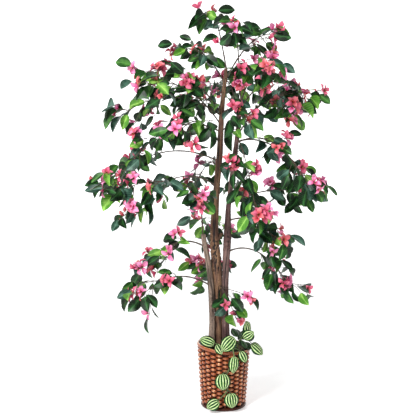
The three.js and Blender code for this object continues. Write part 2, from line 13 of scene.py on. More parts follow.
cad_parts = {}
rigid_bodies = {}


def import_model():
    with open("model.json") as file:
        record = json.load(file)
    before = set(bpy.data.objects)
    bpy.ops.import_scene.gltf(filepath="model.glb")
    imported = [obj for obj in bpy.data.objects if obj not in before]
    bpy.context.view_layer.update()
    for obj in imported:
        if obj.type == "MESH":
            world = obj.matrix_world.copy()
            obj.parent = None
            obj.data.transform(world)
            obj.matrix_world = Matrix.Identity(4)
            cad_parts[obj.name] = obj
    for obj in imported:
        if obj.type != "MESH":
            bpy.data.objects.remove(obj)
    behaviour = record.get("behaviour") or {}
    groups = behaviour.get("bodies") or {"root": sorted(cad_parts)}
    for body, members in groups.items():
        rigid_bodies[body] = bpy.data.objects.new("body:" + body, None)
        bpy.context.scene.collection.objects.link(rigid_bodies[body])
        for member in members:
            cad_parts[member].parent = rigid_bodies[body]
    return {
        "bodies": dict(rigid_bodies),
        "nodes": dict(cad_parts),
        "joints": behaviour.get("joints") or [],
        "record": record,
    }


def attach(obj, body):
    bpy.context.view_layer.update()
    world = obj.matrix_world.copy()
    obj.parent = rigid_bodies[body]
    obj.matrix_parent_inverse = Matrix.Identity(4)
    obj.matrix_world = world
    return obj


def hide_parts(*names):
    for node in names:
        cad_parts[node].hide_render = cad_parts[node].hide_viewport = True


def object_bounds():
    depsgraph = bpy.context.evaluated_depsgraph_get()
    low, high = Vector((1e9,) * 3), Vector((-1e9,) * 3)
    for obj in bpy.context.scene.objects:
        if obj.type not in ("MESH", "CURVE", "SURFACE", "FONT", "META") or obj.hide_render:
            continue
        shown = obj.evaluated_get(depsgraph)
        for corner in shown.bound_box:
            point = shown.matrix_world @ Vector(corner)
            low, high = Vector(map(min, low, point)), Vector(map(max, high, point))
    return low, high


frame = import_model()
cad_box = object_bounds()
scene = bpy.context.scene
MM = 0.001

# ---------------------------------------------------------------- camera
# A long lens at chest height, tipped a little down, a good three metres in front of the tree.
TIPPED_DOWN = 7.15
camera = bpy.data.objects.new("camera", bpy.data.cameras.new("camera"))
camera.data.lens = 80
camera.data.sensor_width = 36
camera.location = (-0.052, -3.5, 1.2)
camera.rotation_euler = (math.radians(90 - TIPPED_DOWN), 0, 0)
scene.collection.objects.link(camera)
scene.camera = camera

# ---------------------------------------------------------------- basket: stakes
# Twenty-five round willow stakes stand in a ring and lean out with the wall. Being odd in number,
# they let one long reed pass in front of each stake on one round and behind it on the next.
STAKES = 25
FOOT_RADIUS = 86
TOP_RADIUS = 102
BASKET_HEIGHT = 240
RIM_SLOPE = 0.05
REED_HALF_WIDTH = 5.2
REED_HALF_DEPTH = 3.2
REED_WAVE = 4.4
REED_RING = REED_HALF_DEPTH + REED_WAVE - 1 # from the middle of the weave out to the wall's face
STAKE_RADIUS = 2.3
STAKE_FOOT = 3
STAKE_TOP = 228
WICKER_BROWN = (164, 82, 38)
# The two tones below are painted shade for the troughs of the weave and painted highlight for its
# crowns.
WICKER_SHADE = (66, 26, 10)
WICKER_HIGHLIGHT = (255, 196, 140)


class Socket:
    """An output of a node in any tree. Arithmetic on it adds Math nodes."""

    def __init__(self, tree, output=None):
        self.tree = tree
        self.output = output

    def feed(self, target, value):
        if isinstance(value, Socket):
            self.tree.links.new(value.output, target)
        else:
            target.default_value = value

    def node(self, kind, settings=None, sockets=None, output=0):
        """Adds a node: first its settings, then the values or links of its sockets."""
        made = self.tree.nodes.new(kind)
        for name, value in (settings or {}).items():
            setattr(made, name, value)
        for name, value in (sockets or {}).items():
            self.feed(made.inputs[name], value)
        return Socket(self.tree, made.outputs[output])

    def named(self, name, data_type="FLOAT"):
        """A value that the mesh holds under a name."""
        return self.node("GeometryNodeInputNamedAttribute", {"data_type": data_type}, {"Name": name})

    def math(self, operation, *values):
        return self.node("ShaderNodeMath", {"operation": operation}, dict(enumerate(values)))

    def __add__(self, other):
        return self.math("ADD", self, other)

    def __sub__(self, other):
        return self.math("SUBTRACT", self, other)

    def __rsub__(self, other):
        return self.math("SUBTRACT", other, self)

    def __mul__(self, other):
        return self.math("MULTIPLY", self, other)

    def __truediv__(self, other):
        return self.math("DIVIDE", self, other)

    __radd__ = __add__
    __rmul__ = __mul__

    def mix(self, low, high):
        """The colour low where this mask is 0, and high where it is 1."""
        return self.node("ShaderNodeMix", {"data_type": "RGBA"}, {0: self, 6: low, 7: high}, 2)

    def band(self, low, high):
        """0 below low, 1 above high, and a smooth step between."""
        return self.node(
            "ShaderNodeMapRange",
            {"interpolation_type": "SMOOTHSTEP"},
            {"Value": self, "From Min": low, "From Max": high},
        )


def paint(colour):
    """A display colour from 0 to 255 as the linear colour that a shader takes."""
    return tuple(((channel / 255 + 0.055) / 1.055) ** 2.4 for channel in colour) + (1,)


def new_finish(name, roughness, specular=0.5):
    """A material, its shader, and a first socket in its tree."""
    material = bpy.data.materials.new(name)
    material.use_nodes = True
    shader = material.node_tree.nodes["Principled BSDF"]
    shader.inputs["Roughness"].default_value = roughness
    shader.inputs["Specular IOR Level"].default_value = specular
    return material, shader, Socket(material.node_tree)


def grain(start, size, scale=(1, 1, 1), detail=4.0):
    """Noise on the object's own coordinates, with features of about size metres."""
    place = start.node("ShaderNodeTexCoord", output="Object")
    stretched = start.node("ShaderNodeMapping", None, {"Vector": place, "Scale": scale})
    return start.node(
        "ShaderNodeTexNoise", None, {"Vector": stretched, "Scale": 1 / size, "Detail": detail}
    )


def bump(shader, height, strength, distance):
    """Lets the surface stand out by distance metres where height is 1."""
    sockets = {"Strength": strength, "Distance": distance, "Height": height}
    height.feed(shader.inputs["Normal"], height.node("ShaderNodeBump", None, sockets))


def new_recipe(name, inputs):
    """An empty Geometry Nodes tree and its named inputs."""
    tree = bpy.data.node_groups.new(name, "GeometryNodeTree")
    face = tree.interface
    face.new_socket("Geometry", in_out="INPUT", socket_type="NodeSocketGeometry")
    for label, kind in inputs.items():
        face.new_socket(label, in_out="INPUT", socket_type="NodeSocket" + kind)
    face.new_socket("Geometry", in_out="OUTPUT", socket_type="NodeSocketGeometry")
    entry = tree.nodes.new("NodeGroupInput")
    return {socket.name: Socket(tree, socket) for socket in entry.outputs if socket.name}


def end_recipe(geometry, material, heart=None):
    """Realizes what the tree has made, gives it its material and leads it out. Where there is a
    heart material, the faces that are marked as heart take it."""
    made = geometry.node("GeometryNodeRealizeInstances", None, {"Geometry": geometry})
    made = made.node("GeometryNodeSetMaterial", None, {"Geometry": made, "Material": material})
    if heart:
        made = made.node("GeometryNodeSetMaterial", None, {
            "Geometry": made,
            "Selection": made.named("heart", "INT"),
            "Material": heart,
        })
    leave = made.tree.nodes.new("NodeGroupOutput")
    made.feed(leave.inputs["Geometry"], made)
    return made.tree


def run_recipe(name, tree, mesh, values):
    """Runs a tree on a mesh and keeps what it makes as a plain mesh at the origin."""
    piece = bpy.data.objects.new(name, mesh)
    scene.collection.objects.link(piece)
    modifier = piece.modifiers.new("recipe", "NODES")
    modifier.node_group = tree
    for item in tree.interface.items_tree:
        if item.in_out == "INPUT" and item.name in values:
            modifier[item.identifier] = values[item.name]
    piece.update_tag()
    bpy.context.view_layer.update()
    evaluated = piece.evaluated_get(bpy.context.evaluated_depsgraph_get())
    result = bpy.data.meshes.new_from_object(evaluated)
    piece.modifiers.clear()
    piece.data = result
    return piece


given = new_recipe("swept rods", {"Sides": "Int", "Material": "Material"})
rods = given["Geometry"].node("GeometryNodeMeshToCurve", None, {"Mesh": given["Geometry"]})
ring = rods.node(
    "GeometryNodeCurvePrimitiveCircle", None, {"Resolution": given["Sides"], "Radius": 1.0}
)
rods = rods.node("GeometryNodeCurveToMesh", None, {
    "Curve": rods,
    "Profile Curve": ring,
    "Scale": rods.named("thick"),
    "Fill Caps": True,
})
SWEPT_RODS = end_recipe(rods, given["Material"])


def swept(name, lines, material, sides):
    """Rods along lines of (point, radius) in millimetres, joined in one piece."""
    points = [point * MM for line in lines for point, _ in line]
    radii = [radius * MM for line in lines for _, radius in line]
    edges = []
    first = 0
    for line in lines:
        edges += [(first + i, first + i + 1) for i in range(len(line) - 1)]
        first += len(line)
    mesh = bpy.data.meshes.new(name)
    mesh.from_pydata(points, edges, [])
    mesh.attributes.new("thick", "FLOAT", "POINT").data.foreach_set("value", radii)
    return run_recipe(name, SWEPT_RODS, mesh, {"Sides": sides, "Material": material})


def wall_radius(height):
    return FOOT_RADIUS + (TOP_RADIUS - FOOT_RADIUS) * height / BASKET_HEIGHT


def round_basket(radius, angle, height):
    """A point round the basket's axis. The rows stand higher on the left than on the right."""
    x = radius * math.cos(angle)
    return np.array([x, radius * math.sin(angle), height * (1 - RIM_SLOPE * x / TOP_RADIUS)])


# Painted highlight and shade: the colour turns pale on the crowns, where the weave stands proud,
# and dark in the troughs behind the stakes, with patchy edges from noise.
wicker, shader, start = new_finish("stained reed", roughness=0.3, specular=0.3)
shader.inputs["Coat Roughness"].default_value = 0.12
fibres = grain(start, 0.02, (1, 1, 9))
patches = grain(start, 0.03, detail=2.0)
crown = start.node("ShaderNodeAttribute", {"attribute_name": "crown"}, None, "Fac")
painted_light = crown + 0.9 * (patches - 0.5)
# Painted highlight on the crowns of the weave.
brown = painted_light.band(0.82, 1.2).mix(paint(WICKER_BROWN), paint(WICKER_HIGHLIGHT))
brown = fibres.band(0.5, 0.3).mix(brown, paint(WICKER_BROWN))
# Painted shade where the reed turns in behind the stakes.
start.feed(shader.inputs["Base Color"], painted_light.band(0.85, -0.1).mix(brown, paint(WICKER_SHADE)))
start.feed(shader.inputs["Roughness"], 0.24 + 0.2 * patches)
start.feed(shader.inputs["Coat Weight"], 0.8 * painted_light.band(0.2, 0.9))
bump(shader, fibres, strength=0.35, distance=0.0006)

stake_lines = []
for stake in range(STAKES):
    line = []
    for height in (STAKE_FOOT, STAKE_TOP / 2, STAKE_TOP):
        angle = 2 * math.pi * stake / STAKES
        line.append((round_basket(wall_radius(height) - REED_RING, angle, height), STAKE_RADIUS))
    stake_lines.append(line)
stakes = swept("basket_stakes", stake_lines, wicker, sides=8)
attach(stakes, "root")
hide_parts("basket")

# ---------------------------------------------------------------- basket: woven reed
# One flat reed winds up the wall, in front of a stake and then behind the next, so that each row
# bulges where the rows above and below it turn in. It is pinched thin behind the stakes. The floor
# is the same reed in a flat coil.
ROWS = 25
POINTS_PER_STAKE = 6
WEAVE_FOOT = 16
WEAVE_TOP = 222
REED_PINCHED = 0.86 # size of the reed between a crown and the next trough
REED_SWELL = 0.2 # how much larger it is on a crown, and how much smaller in a trough
FLOOR_TURNS = 10
FLOOR_POINTS_PER_TURN = 48
FLOOR_EYE = 4
FLOOR_RADIUS = 80
FLOOR_HEIGHT = 4.3
FLOOR_REED = 3.9
given = new_recipe("woven coil", {
    "Points": "Int",
    "Turns": "Float",
    "First radius": "Float",
    "Last radius": "Float",
    "First height": "Float",
    "Last height": "Float",
    "Wave": "Float",
    "Waves per turn": "Float",
    "Lean": "Float",
    "Half width": "Float",
    "Half depth": "Float",
    "Material": "Material",
})
line = given["Points"].node("GeometryNodeMeshLine", None, {"Count": given["Points"]})
share = line.node("GeometryNodeInputIndex") / (given["Points"] - 1)
turn = share * given["Turns"] * (2 * math.pi)
crown = line.math("COSINE", turn * given["Waves per turn"])
radius = given["First radius"] + share * (given["Last radius"] - given["First radius"])
radius = radius + given["Wave"] * crown
across = radius * line.math("COSINE", turn)
height = given["First height"] + share * (given["Last height"] - given["First height"])
height = height * (1 - given["Lean"] * across)
place = line.node("ShaderNodeCombineXYZ", None, {
    "X": across,
    "Y": radius * line.math("SINE", turn),
    "Z": height,
})
# The crown is kept for the finish, which paints highlight on it and shade where the reed turns in.
kept = line.node(
    "GeometryNodeStoreNamedAttribute",
    {"data_type": "FLOAT", "domain": "POINT"},
    {"Geometry": line, "Name": "crown", "Value": crown},
)
line = kept.node("GeometryNodeSetPosition", None, {"Geometry": kept, "Position": place})
line = line.node("GeometryNodeMeshToCurve", None, {"Mesh": line})
line = line.node("GeometryNodeSetCurveNormal", {"mode": "Z_UP"}, {"Curve": line})
ring = line.node("GeometryNodeCurvePrimitiveCircle", None, {"Resolution": 10, "Radius": 1.0})
section = ring.node("ShaderNodeCombineXYZ", None, {
    "X": given["Half depth"],
    "Y": given["Half width"],
    "Z": 1.0,
})
ring = ring.node("GeometryNodeTransform", None, {"Geometry": ring, "Scale": section})
reed = line.node("GeometryNodeCurveToMesh", None, {
    "Curve": line,
    "Profile Curve": ring,
    "Scale": REED_PINCHED + REED_SWELL * line.named("crown"),
    "Fill Caps": True,
})
WOVEN_COIL = end_recipe(reed, given["Material"])

wall = run_recipe("basket_wall", WOVEN_COIL, bpy.data.meshes.new("basket_wall"), {
    "Points": ROWS * STAKES * POINTS_PER_STAKE + 1,
    "Turns": float(ROWS),
    "First radius": (wall_radius(WEAVE_FOOT) - REED_RING) * MM,
    "Last radius": (wall_radius(WEAVE_TOP) - REED_RING) * MM,
    "First height": WEAVE_FOOT * MM,
    "Last height": WEAVE_TOP * MM,
    "Wave": REED_WAVE * MM,
    "Waves per turn": STAKES / 2,
    "Lean": RIM_SLOPE / (TOP_RADIUS * MM),
    "Half width": REED_HALF_WIDTH * MM,
    "Half depth": REED_HALF_DEPTH * MM,
    "Material": wicker,
})
floor_coil = run_recipe("basket_floor", WOVEN_COIL, bpy.data.meshes.new("basket_floor"), {
    "Points": FLOOR_TURNS * FLOOR_POINTS_PER_TURN,
    "Turns": float(FLOOR_TURNS),
    "First radius": FLOOR_EYE * MM,
    "Last radius": FLOOR_RADIUS * MM,
    "First height": FLOOR_HEIGHT * MM,
    "Last height": FLOOR_HEIGHT * MM,
    "Wave": 0.0,
    "Waves per turn": 0.0,
    "Lean": 0.0,
    "Half width": FLOOR_REED * MM,
    "Half depth": FLOOR_REED * MM,
    "Material": wicker,
})
for piece in (wall, floor_coil):
    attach(piece, "root")
    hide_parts("basket")

# ---------------------------------------------------------------- basket: bound rim and foot
# Two hoops close the wall, at the rim and at the foot. Each is lapped all round with flat cane,
# and every lap stands a little proud of the next.
RIM = SimpleNamespace(radius=TOP_RADIUS - 4, middle=233.2, half_height=6.8, half_depth=4.2)
FOOT = SimpleNamespace(radius=FOOT_RADIUS - 5, middle=6.8, half_height=6.4, half_depth=6.2)
LAPS = 84
STEPS_PER_LAP = 8
HOOP_SIDES = 14
LAP_RELIEF = 0.05
LAP_SLANT = 0.35 # of a lap, from the hoop's middle to its top
LAP_SHADE = 0.3 # how much painted shade darkens the crease where one lap meets the next


def bridge(bm, rings):
    """Adds the faces between each ring of points and the next. A ring may be a single point."""
    for low, high in zip(rings, rings[1:]):
        sides = max(len(low), len(high))
        for side in range(sides):
            after = (side + 1) % sides
            corners = [low[side % len(low)], low[after % len(low)]]
            corners += [high[after % len(high)], high[side % len(high)]]
            bm.faces.new(list(dict.fromkeys(corners)))


def add_hoop(bm, layer, hoop, painted_light):
    """Adds a lapped hoop with an oval section. The function it is given sets, round the section, the
    colour from painted shade at -1 to painted highlight at 1.
    """
    steps = LAPS * STEPS_PER_LAP
    rings = []
    for step in range(steps):
        angle = 2 * math.pi * step / steps
        ring = []
        for side in range(HOOP_SIDES):
            roll = 2 * math.pi * side / HOOP_SIDES
            lap = abs(math.sin(math.pi * (step / STEPS_PER_LAP + LAP_SLANT * math.sin(roll))))
            swell = 1 - LAP_RELIEF + LAP_RELIEF * math.sqrt(lap)
            out = hoop.radius + hoop.half_depth * swell * math.cos(roll)
            height = hoop.middle + hoop.half_height * swell * math.sin(roll)
            vert = bm.verts.new(round_basket(out, angle, height) * MM)
            # Painted shade in the crease between laps.
            vert[layer] = painted_light(roll) - LAP_SHADE * (1 - lap) ** 2
            ring.append(vert)
        rings.append(ring)
    bridge(bm, rings + rings[:1])


def closed_mesh(name, bm):
    """Turns a bmesh into a smooth mesh with its faces pointing out."""
    bmesh.ops.recalc_face_normals(bm, faces=bm.faces[:])
    for face in bm.faces:
        face.smooth = True
    mesh = bpy.data.meshes.new(name)
    bm.to_mesh(mesh)
    bm.free()
    return mesh


def new_piece(name, bm, material):
    piece = bpy.data.objects.new(name, closed_mesh(name, bm))
    piece.data.materials.append(material)
    scene.collection.objects.link(piece)
    return piece


bm = bmesh.new()
layer = bm.verts.layers.float.new("crown")
# Painted highlight along the rim's top and painted shade under it; the foot hoop takes painted shade
# all round.
add_hoop(bm, layer, RIM, lambda roll: 0.7 + 0.45 * math.sin(roll) ** 3)
add_hoop(bm, layer, FOOT, lambda roll: -0.1)
hoops = new_piece("basket_hoops", bm, wicker)
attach(hoops, "root")
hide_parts("basket")

# ---------------------------------------------------------------- basket: liner
# A thin black plastic pot with a flared lip stands inside the weave. It keeps the packing in, and its
# near-black stands in as painted shade between the reeds and under the rim.
LINER_GAP = 16
LINER_WALL = 1.2
LINER_FOOT = 9
LINER_TOP = 233
LIP_HEIGHT = 8
LIP_RADIUS = 92


def mottled(name, dark, light, size, span, roughness, scale=(1, 1, 1), specular=0.5):
    """A finish that wanders between two tones, with its shader and the noise that it follows."""
    material, shader, start = new_finish(name, roughness, specular)
    cloud = grain(start, size, scale)
    start.feed(shader.inputs["Base Color"], cloud.band(*span).mix(paint(dark), paint(light)))
    return material, shader, cloud


def add_turned(bm, profile, sides, place):
    """Adds a closed turned body: place(radius, angle, height) sets the points of its profile."""
    rings = []
    for radius, height in profile:
        turns = [2 * math.pi * side / sides for side in range(sides if radius else 1)]
        rings.append([bm.verts.new(place(radius, angle, height) * MM) for angle in turns])
    bridge(bm, rings)


liner_plastic, shader, scuffs = mottled(
    "black pot plastic", (20, 14, 11), (40, 28, 22), size=0.02, span=(0.4, 0.7), roughness=0.6
)
scuffs.feed(shader.inputs["Roughness"], 0.5 + 0.3 * scuffs)
foot = wall_radius(LINER_FOOT) - LINER_GAP
top = wall_radius(LINER_TOP) - LINER_GAP
bm = bmesh.new()
add_turned(bm, [
    (0, LINER_FOOT),
    (foot, LINER_FOOT),
    (top, LINER_TOP - LIP_HEIGHT),
    (LIP_RADIUS, LINER_TOP),
    (LIP_RADIUS - LINER_WALL, LINER_TOP),
    (top - LINER_WALL, LINER_TOP - LIP_HEIGHT),
    (foot - LINER_WALL, LINER_FOOT + LINER_WALL),
    (0, LINER_FOOT + LINER_WALL),
], sides=64, place=round_basket)
liner = new_piece("basket_liner", bm, liner_plastic)
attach(liner, "root")
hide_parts("basket")

# ---------------------------------------------------------------- moss in the basket
# The basket is packed to just under its rim. The packing is hidden under a layer of dried moss,
# a lumpy crust with loose curled threads lying on it.
MOSS_TOP = 222
MOSS_FOOT = 12
MOSS_SHOULDER = 10
MOSS_GAP = LINER_GAP + LINER_WALL + 0.5
LUMP_SIZE = 16
LUMP_HEIGHT = 3.5
SMALL_LUMP_HEIGHT = 1.5
THREADS = 420
THREAD_SEED = 20011
THREAD_RADIUS = 0.45
THREAD_STEPS = 5
THREAD_STEP = 3.6
THREAD_CURL = 1.6
THREAD_RISE = 5
THREAD_REACH = 84

moss, shader, lumps = mottled(
    "dried moss", (38, 30, 18), (104, 88, 50), size=0.008, span=(0.35, 0.68), roughness=0.95
)
bump(shader, lumps, strength=0.8, distance=0.002)


def moss_height(x, y):
    spot = Vector((x, y, 0)) / LUMP_SIZE
    lumps = LUMP_HEIGHT * noise.noise(spot)
    return MOSS_TOP + lumps + SMALL_LUMP_HEIGHT * noise.noise(spot * 3)


def moss_point(radius, angle, height):
    """A point of the crust. Where no height is given, it lies on the lumpy top."""
    x = radius * math.cos(angle)
    y = radius * math.sin(angle)
    return np.array([x, y, moss_height(x, y) if height is None else height])


profile = [(0, MOSS_FOOT)]
for height in (MOSS_FOOT, MOSS_TOP - MOSS_SHOULDER):
    profile.append((wall_radius(height) - MOSS_GAP, height))
profile += [(radius, None) for radius in (81, 74, 66, 58, 50, 42, 34, 26, 18, 10, 0)]
bm = bmesh.new()
add_turned(bm, profile, sides=60, place=moss_point)
crust = new_piece("moss_crust", bm, moss)


def seeded(seed):
    """A fixed run of numbers from 0 to 1."""
    def draw():
        nonlocal seed
        seed = (seed * 1664525 + 1013904223) % 2 ** 32
        return seed / 2 ** 32
    return draw


def thread_line(draw):
    """A thread that starts anywhere on the moss, curls one way and stops short of the basket's wall.
    """
    angle = 2 * math.pi * draw()
    radius = (THREAD_REACH - 2) * math.sqrt(draw())
    x = radius * math.cos(angle)
    y = radius * math.sin(angle)
    heading = 2 * math.pi * draw()
    bend = THREAD_CURL * (draw() - 0.5)
    rise = 1 + THREAD_RISE * draw()
    line = []
    for step in range(THREAD_STEPS + 1):
        z = moss_height(x, y) + rise * math.sin(math.pi * step / THREAD_STEPS)
        line.append((np.array([x, y, z]), THREAD_RADIUS))
        heading += bend
        x += THREAD_STEP * math.cos(heading)
        y += THREAD_STEP * math.sin(heading)
        if math.hypot(x, y) > THREAD_REACH:
            break
    return line


draw = seeded(THREAD_SEED)
thread_lines = [thread_line(draw) for _ in range(THREADS)]
thread_lines = [line for line in thread_lines if len(line) > 2]
threads = swept("moss_threads", thread_lines, moss, sides=3)
for piece in (crust, threads):
    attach(piece, "root")
    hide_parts("moss_fill")

# ---------------------------------------------------------------- stems
# Three natural branches with their bark on stand in the packing, the left one short and grey, the
# middle one thick and knobbly where its side shoots were cut off, the right one thin and smooth.
STEM_FOOT = 224.3
STEMS = {
    # across, deep and radius are taken at even steps from the stem's foot to its top. knobs are
    # the heights between which it is knobbly, and how much. bark is its girth over the bare wood.
    "left": SimpleNamespace(
        top=668,
        across=[-44, -44, -47, -57, -79],
        deep=[-8, -8, -6, -4, -2],
        radius=[12, 9.5, 9.5, 9.5, 8],
        knobs=(300, 470, 0.1),
        bark=1.2,
        colours=[(40, 28, 24), (96, 78, 66), (142, 122, 108)],
    ),
    "middle": SimpleNamespace(
        top=1290,
        across=[-17, -19, -25, -37, -28, -15, -8, 8],
        deep=[9, 8, 6, 4, 0, 0, 0, 0],
        radius=[17, 13.5, 17, 15, 11, 10.5, 8.5, 5.5],
        knobs=(500, 680, 0.27),
        bark=1.1,
        colours=[(26, 15, 10), (88, 57, 44), (136, 102, 74)],
    ),
    "right": SimpleNamespace(
        top=1180,
        across=[11, 7, 6, 13, 17, 33, 51, 62],
        deep=[-9, -8, -6, -4, -6, -8, -10, -12],
        radius=[13, 10, 10, 12.5, 8, 8, 7.5, 5.5],
        knobs=(590, 700, 0.18),
        bark=1.2,
        colours=[(32, 17, 17), (80, 52, 50), (122, 94, 88)],
    ),
}
STUB = SimpleNamespace(height=628, lean=(24, -2), rise=44, radius=8, rings=12, knobbly=0.08)
RING_STEP = 4
ROUND_SIDES = 44
SUNK = 8 # how deep the bark reaches into the packing
SOFTENED = 24 # the stem's bends are eased over this length, up and down
KNOBS_FADE = 40


def along_stem(values, stem, height):
    return float(np.interp(height, np.linspace(STEM_FOOT, stem.top, len(values)), values))


def stem_axis(stem, height):
    across = along_stem(stem.across, stem, height)
    return np.array([across, along_stem(stem.deep, stem, height), height])


def bark_relief(angle, height, knob_share, seed):
    """How far the bark stands out, as a share of the radius: seams, ridges, grain and knobs."""
    x = math.cos(angle)
    y = math.sin(angle)
    rise = height * MM
    relief = 0.1 * noise.noise(Vector((1.5 * x + seed, 1.5 * y, 9 * rise)))
    relief += 0.08 * noise.noise(Vector((4 * x + seed, 4 * y, 26 * rise)))
    relief += 0.04 * noise.noise(Vector((9 * x + seed, 9 * y, 90 * rise)))
    for seam in range(4):
        wander = 1.1 * noise.noise(Vector((seam + seed, 0, 6 * rise)))
        gap = (angle - 1.6 * seam - seed - wander + math.pi) % (2 * math.pi) - math.pi
        depth = 0.55 + 0.6 * noise.noise(Vector((seed - seam, 3, 11 * rise)))
        relief -= 0.2 * max(depth, 0) * math.exp(-((gap / 0.17) ** 2))
    knob = noise.noise(Vector((2.2 * x + seed, 2.2 * y, 105 * rise)))
    knob += 0.6 * noise.noise(Vector((5 * x + seed, 5 * y, 210 * rise)))
    return relief + knob_share * knob


def add_limb(bm, layer, heights, place, radius, relief):
    """Adds a closed limb: rings round place(height), pushed out by relief(angle, height)."""
    rings = []
    for height in heights:
        centre = place(height)
        ring = []
        for side in range(ROUND_SIDES):
            angle = 2 * math.pi * side / ROUND_SIDES
            push = relief(angle, height)
            reach = radius(height) * (1 + push)
            offset = np.array([reach * math.cos(angle), reach * math.sin(angle), 0])
            vert = bm.verts.new((centre + offset) * MM)
            vert[layer] = push
            ring.append(vert)
        rings.append(ring)
    bridge(bm, rings)
    for ring in (rings[0], rings[-1]):
        middle = bm.verts.new(sum((vert.co for vert in ring), Vector()) / ROUND_SIDES)
        for side in range(ROUND_SIDES):
            bm.faces.new((ring[side], ring[(side + 1) % ROUND_SIDES], middle))


def add_stem(bm, layer, stem, seed):
    low, high, knob_share = stem.knobs

    def soft(values, height):
        near = [along_stem(values, stem, height + shift) for shift in (-SOFTENED, 0, SOFTENED)]
        return sum(near) / 3

    def relief(angle, height):
        share = max(0, min(1, (height - low) / KNOBS_FADE, (high - height) / KNOBS_FADE))
        return bark_relief(angle, height, knob_share * share, seed)

    add_limb(
        bm,
        layer,
        list(np.arange(STEM_FOOT - SUNK, stem.top - 1, RING_STEP)) + [stem.top],
        lambda height: np.array([soft(stem.across, height), soft(stem.deep, height), height]),
        lambda height: stem.bark * soft(stem.radius, height),
        relief,
    )


def add_stub(bm, layer, stem):
    """Adds the sawn fork that stands beside a stem."""
    foot = stem_axis(stem, STUB.height)
    add_limb(
        bm,
        layer,
        np.linspace(foot[2], foot[2] + STUB.rise, STUB.rings),
        lambda height: foot + np.array([*STUB.lean, STUB.rise]) * (height - foot[2]) / STUB.rise,
        lambda height: STUB.radius,
        lambda angle, height: bark_relief(angle, height, STUB.knobbly, 5.3),
    )


def bark_finish(name, dark, mid, pale):
    """Bark in three tones: pale along the grain and dark in its pores, with painted shade in its
    seams and hollows.
    """
    material, shader, start = new_finish(name, roughness=0.8)
    relief = start.node("ShaderNodeAttribute", {"attribute_name": "relief"}, None, "Fac")
    streaks = grain(start, 0.012, (1, 1, 0.16))
    flecks = grain(start, 0.005)
    patches = grain(start, 0.05, (1, 1, 0.5), detail=2.0)
    wood = (streaks + patches - 0.5).band(0.34, 0.72).mix(paint(mid), paint(pale))
    wood = flecks.band(0.58, 0.72).mix(wood, paint(dark))
    wood = streaks.band(0.42, 0.3).mix(wood, paint(dark))
    # Painted shade: dark where the bark sinks in, by its relief.
    start.feed(shader.inputs["Base Color"], relief.band(0.0, -0.14).mix(wood, paint(dark)))
    start.feed(shader.inputs["Roughness"], 0.6 + 0.25 * flecks)
    bump(shader, streaks + 0.5 * flecks, strength=0.9, distance=0.003)
    return material


for number, (name, stem) in enumerate(STEMS.items()):
    bm = bmesh.new()
    layer = bm.verts.layers.float.new("relief")
    add_stem(bm, layer, stem, 1.7 * number)
    if name == "middle":
        add_stub(bm, layer, stem)
    piece = new_piece("bark_" + name, bm, bark_finish("bark of the " + name + " stem", *stem.colours))
    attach(piece, "root")
    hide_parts("stem_" + name)

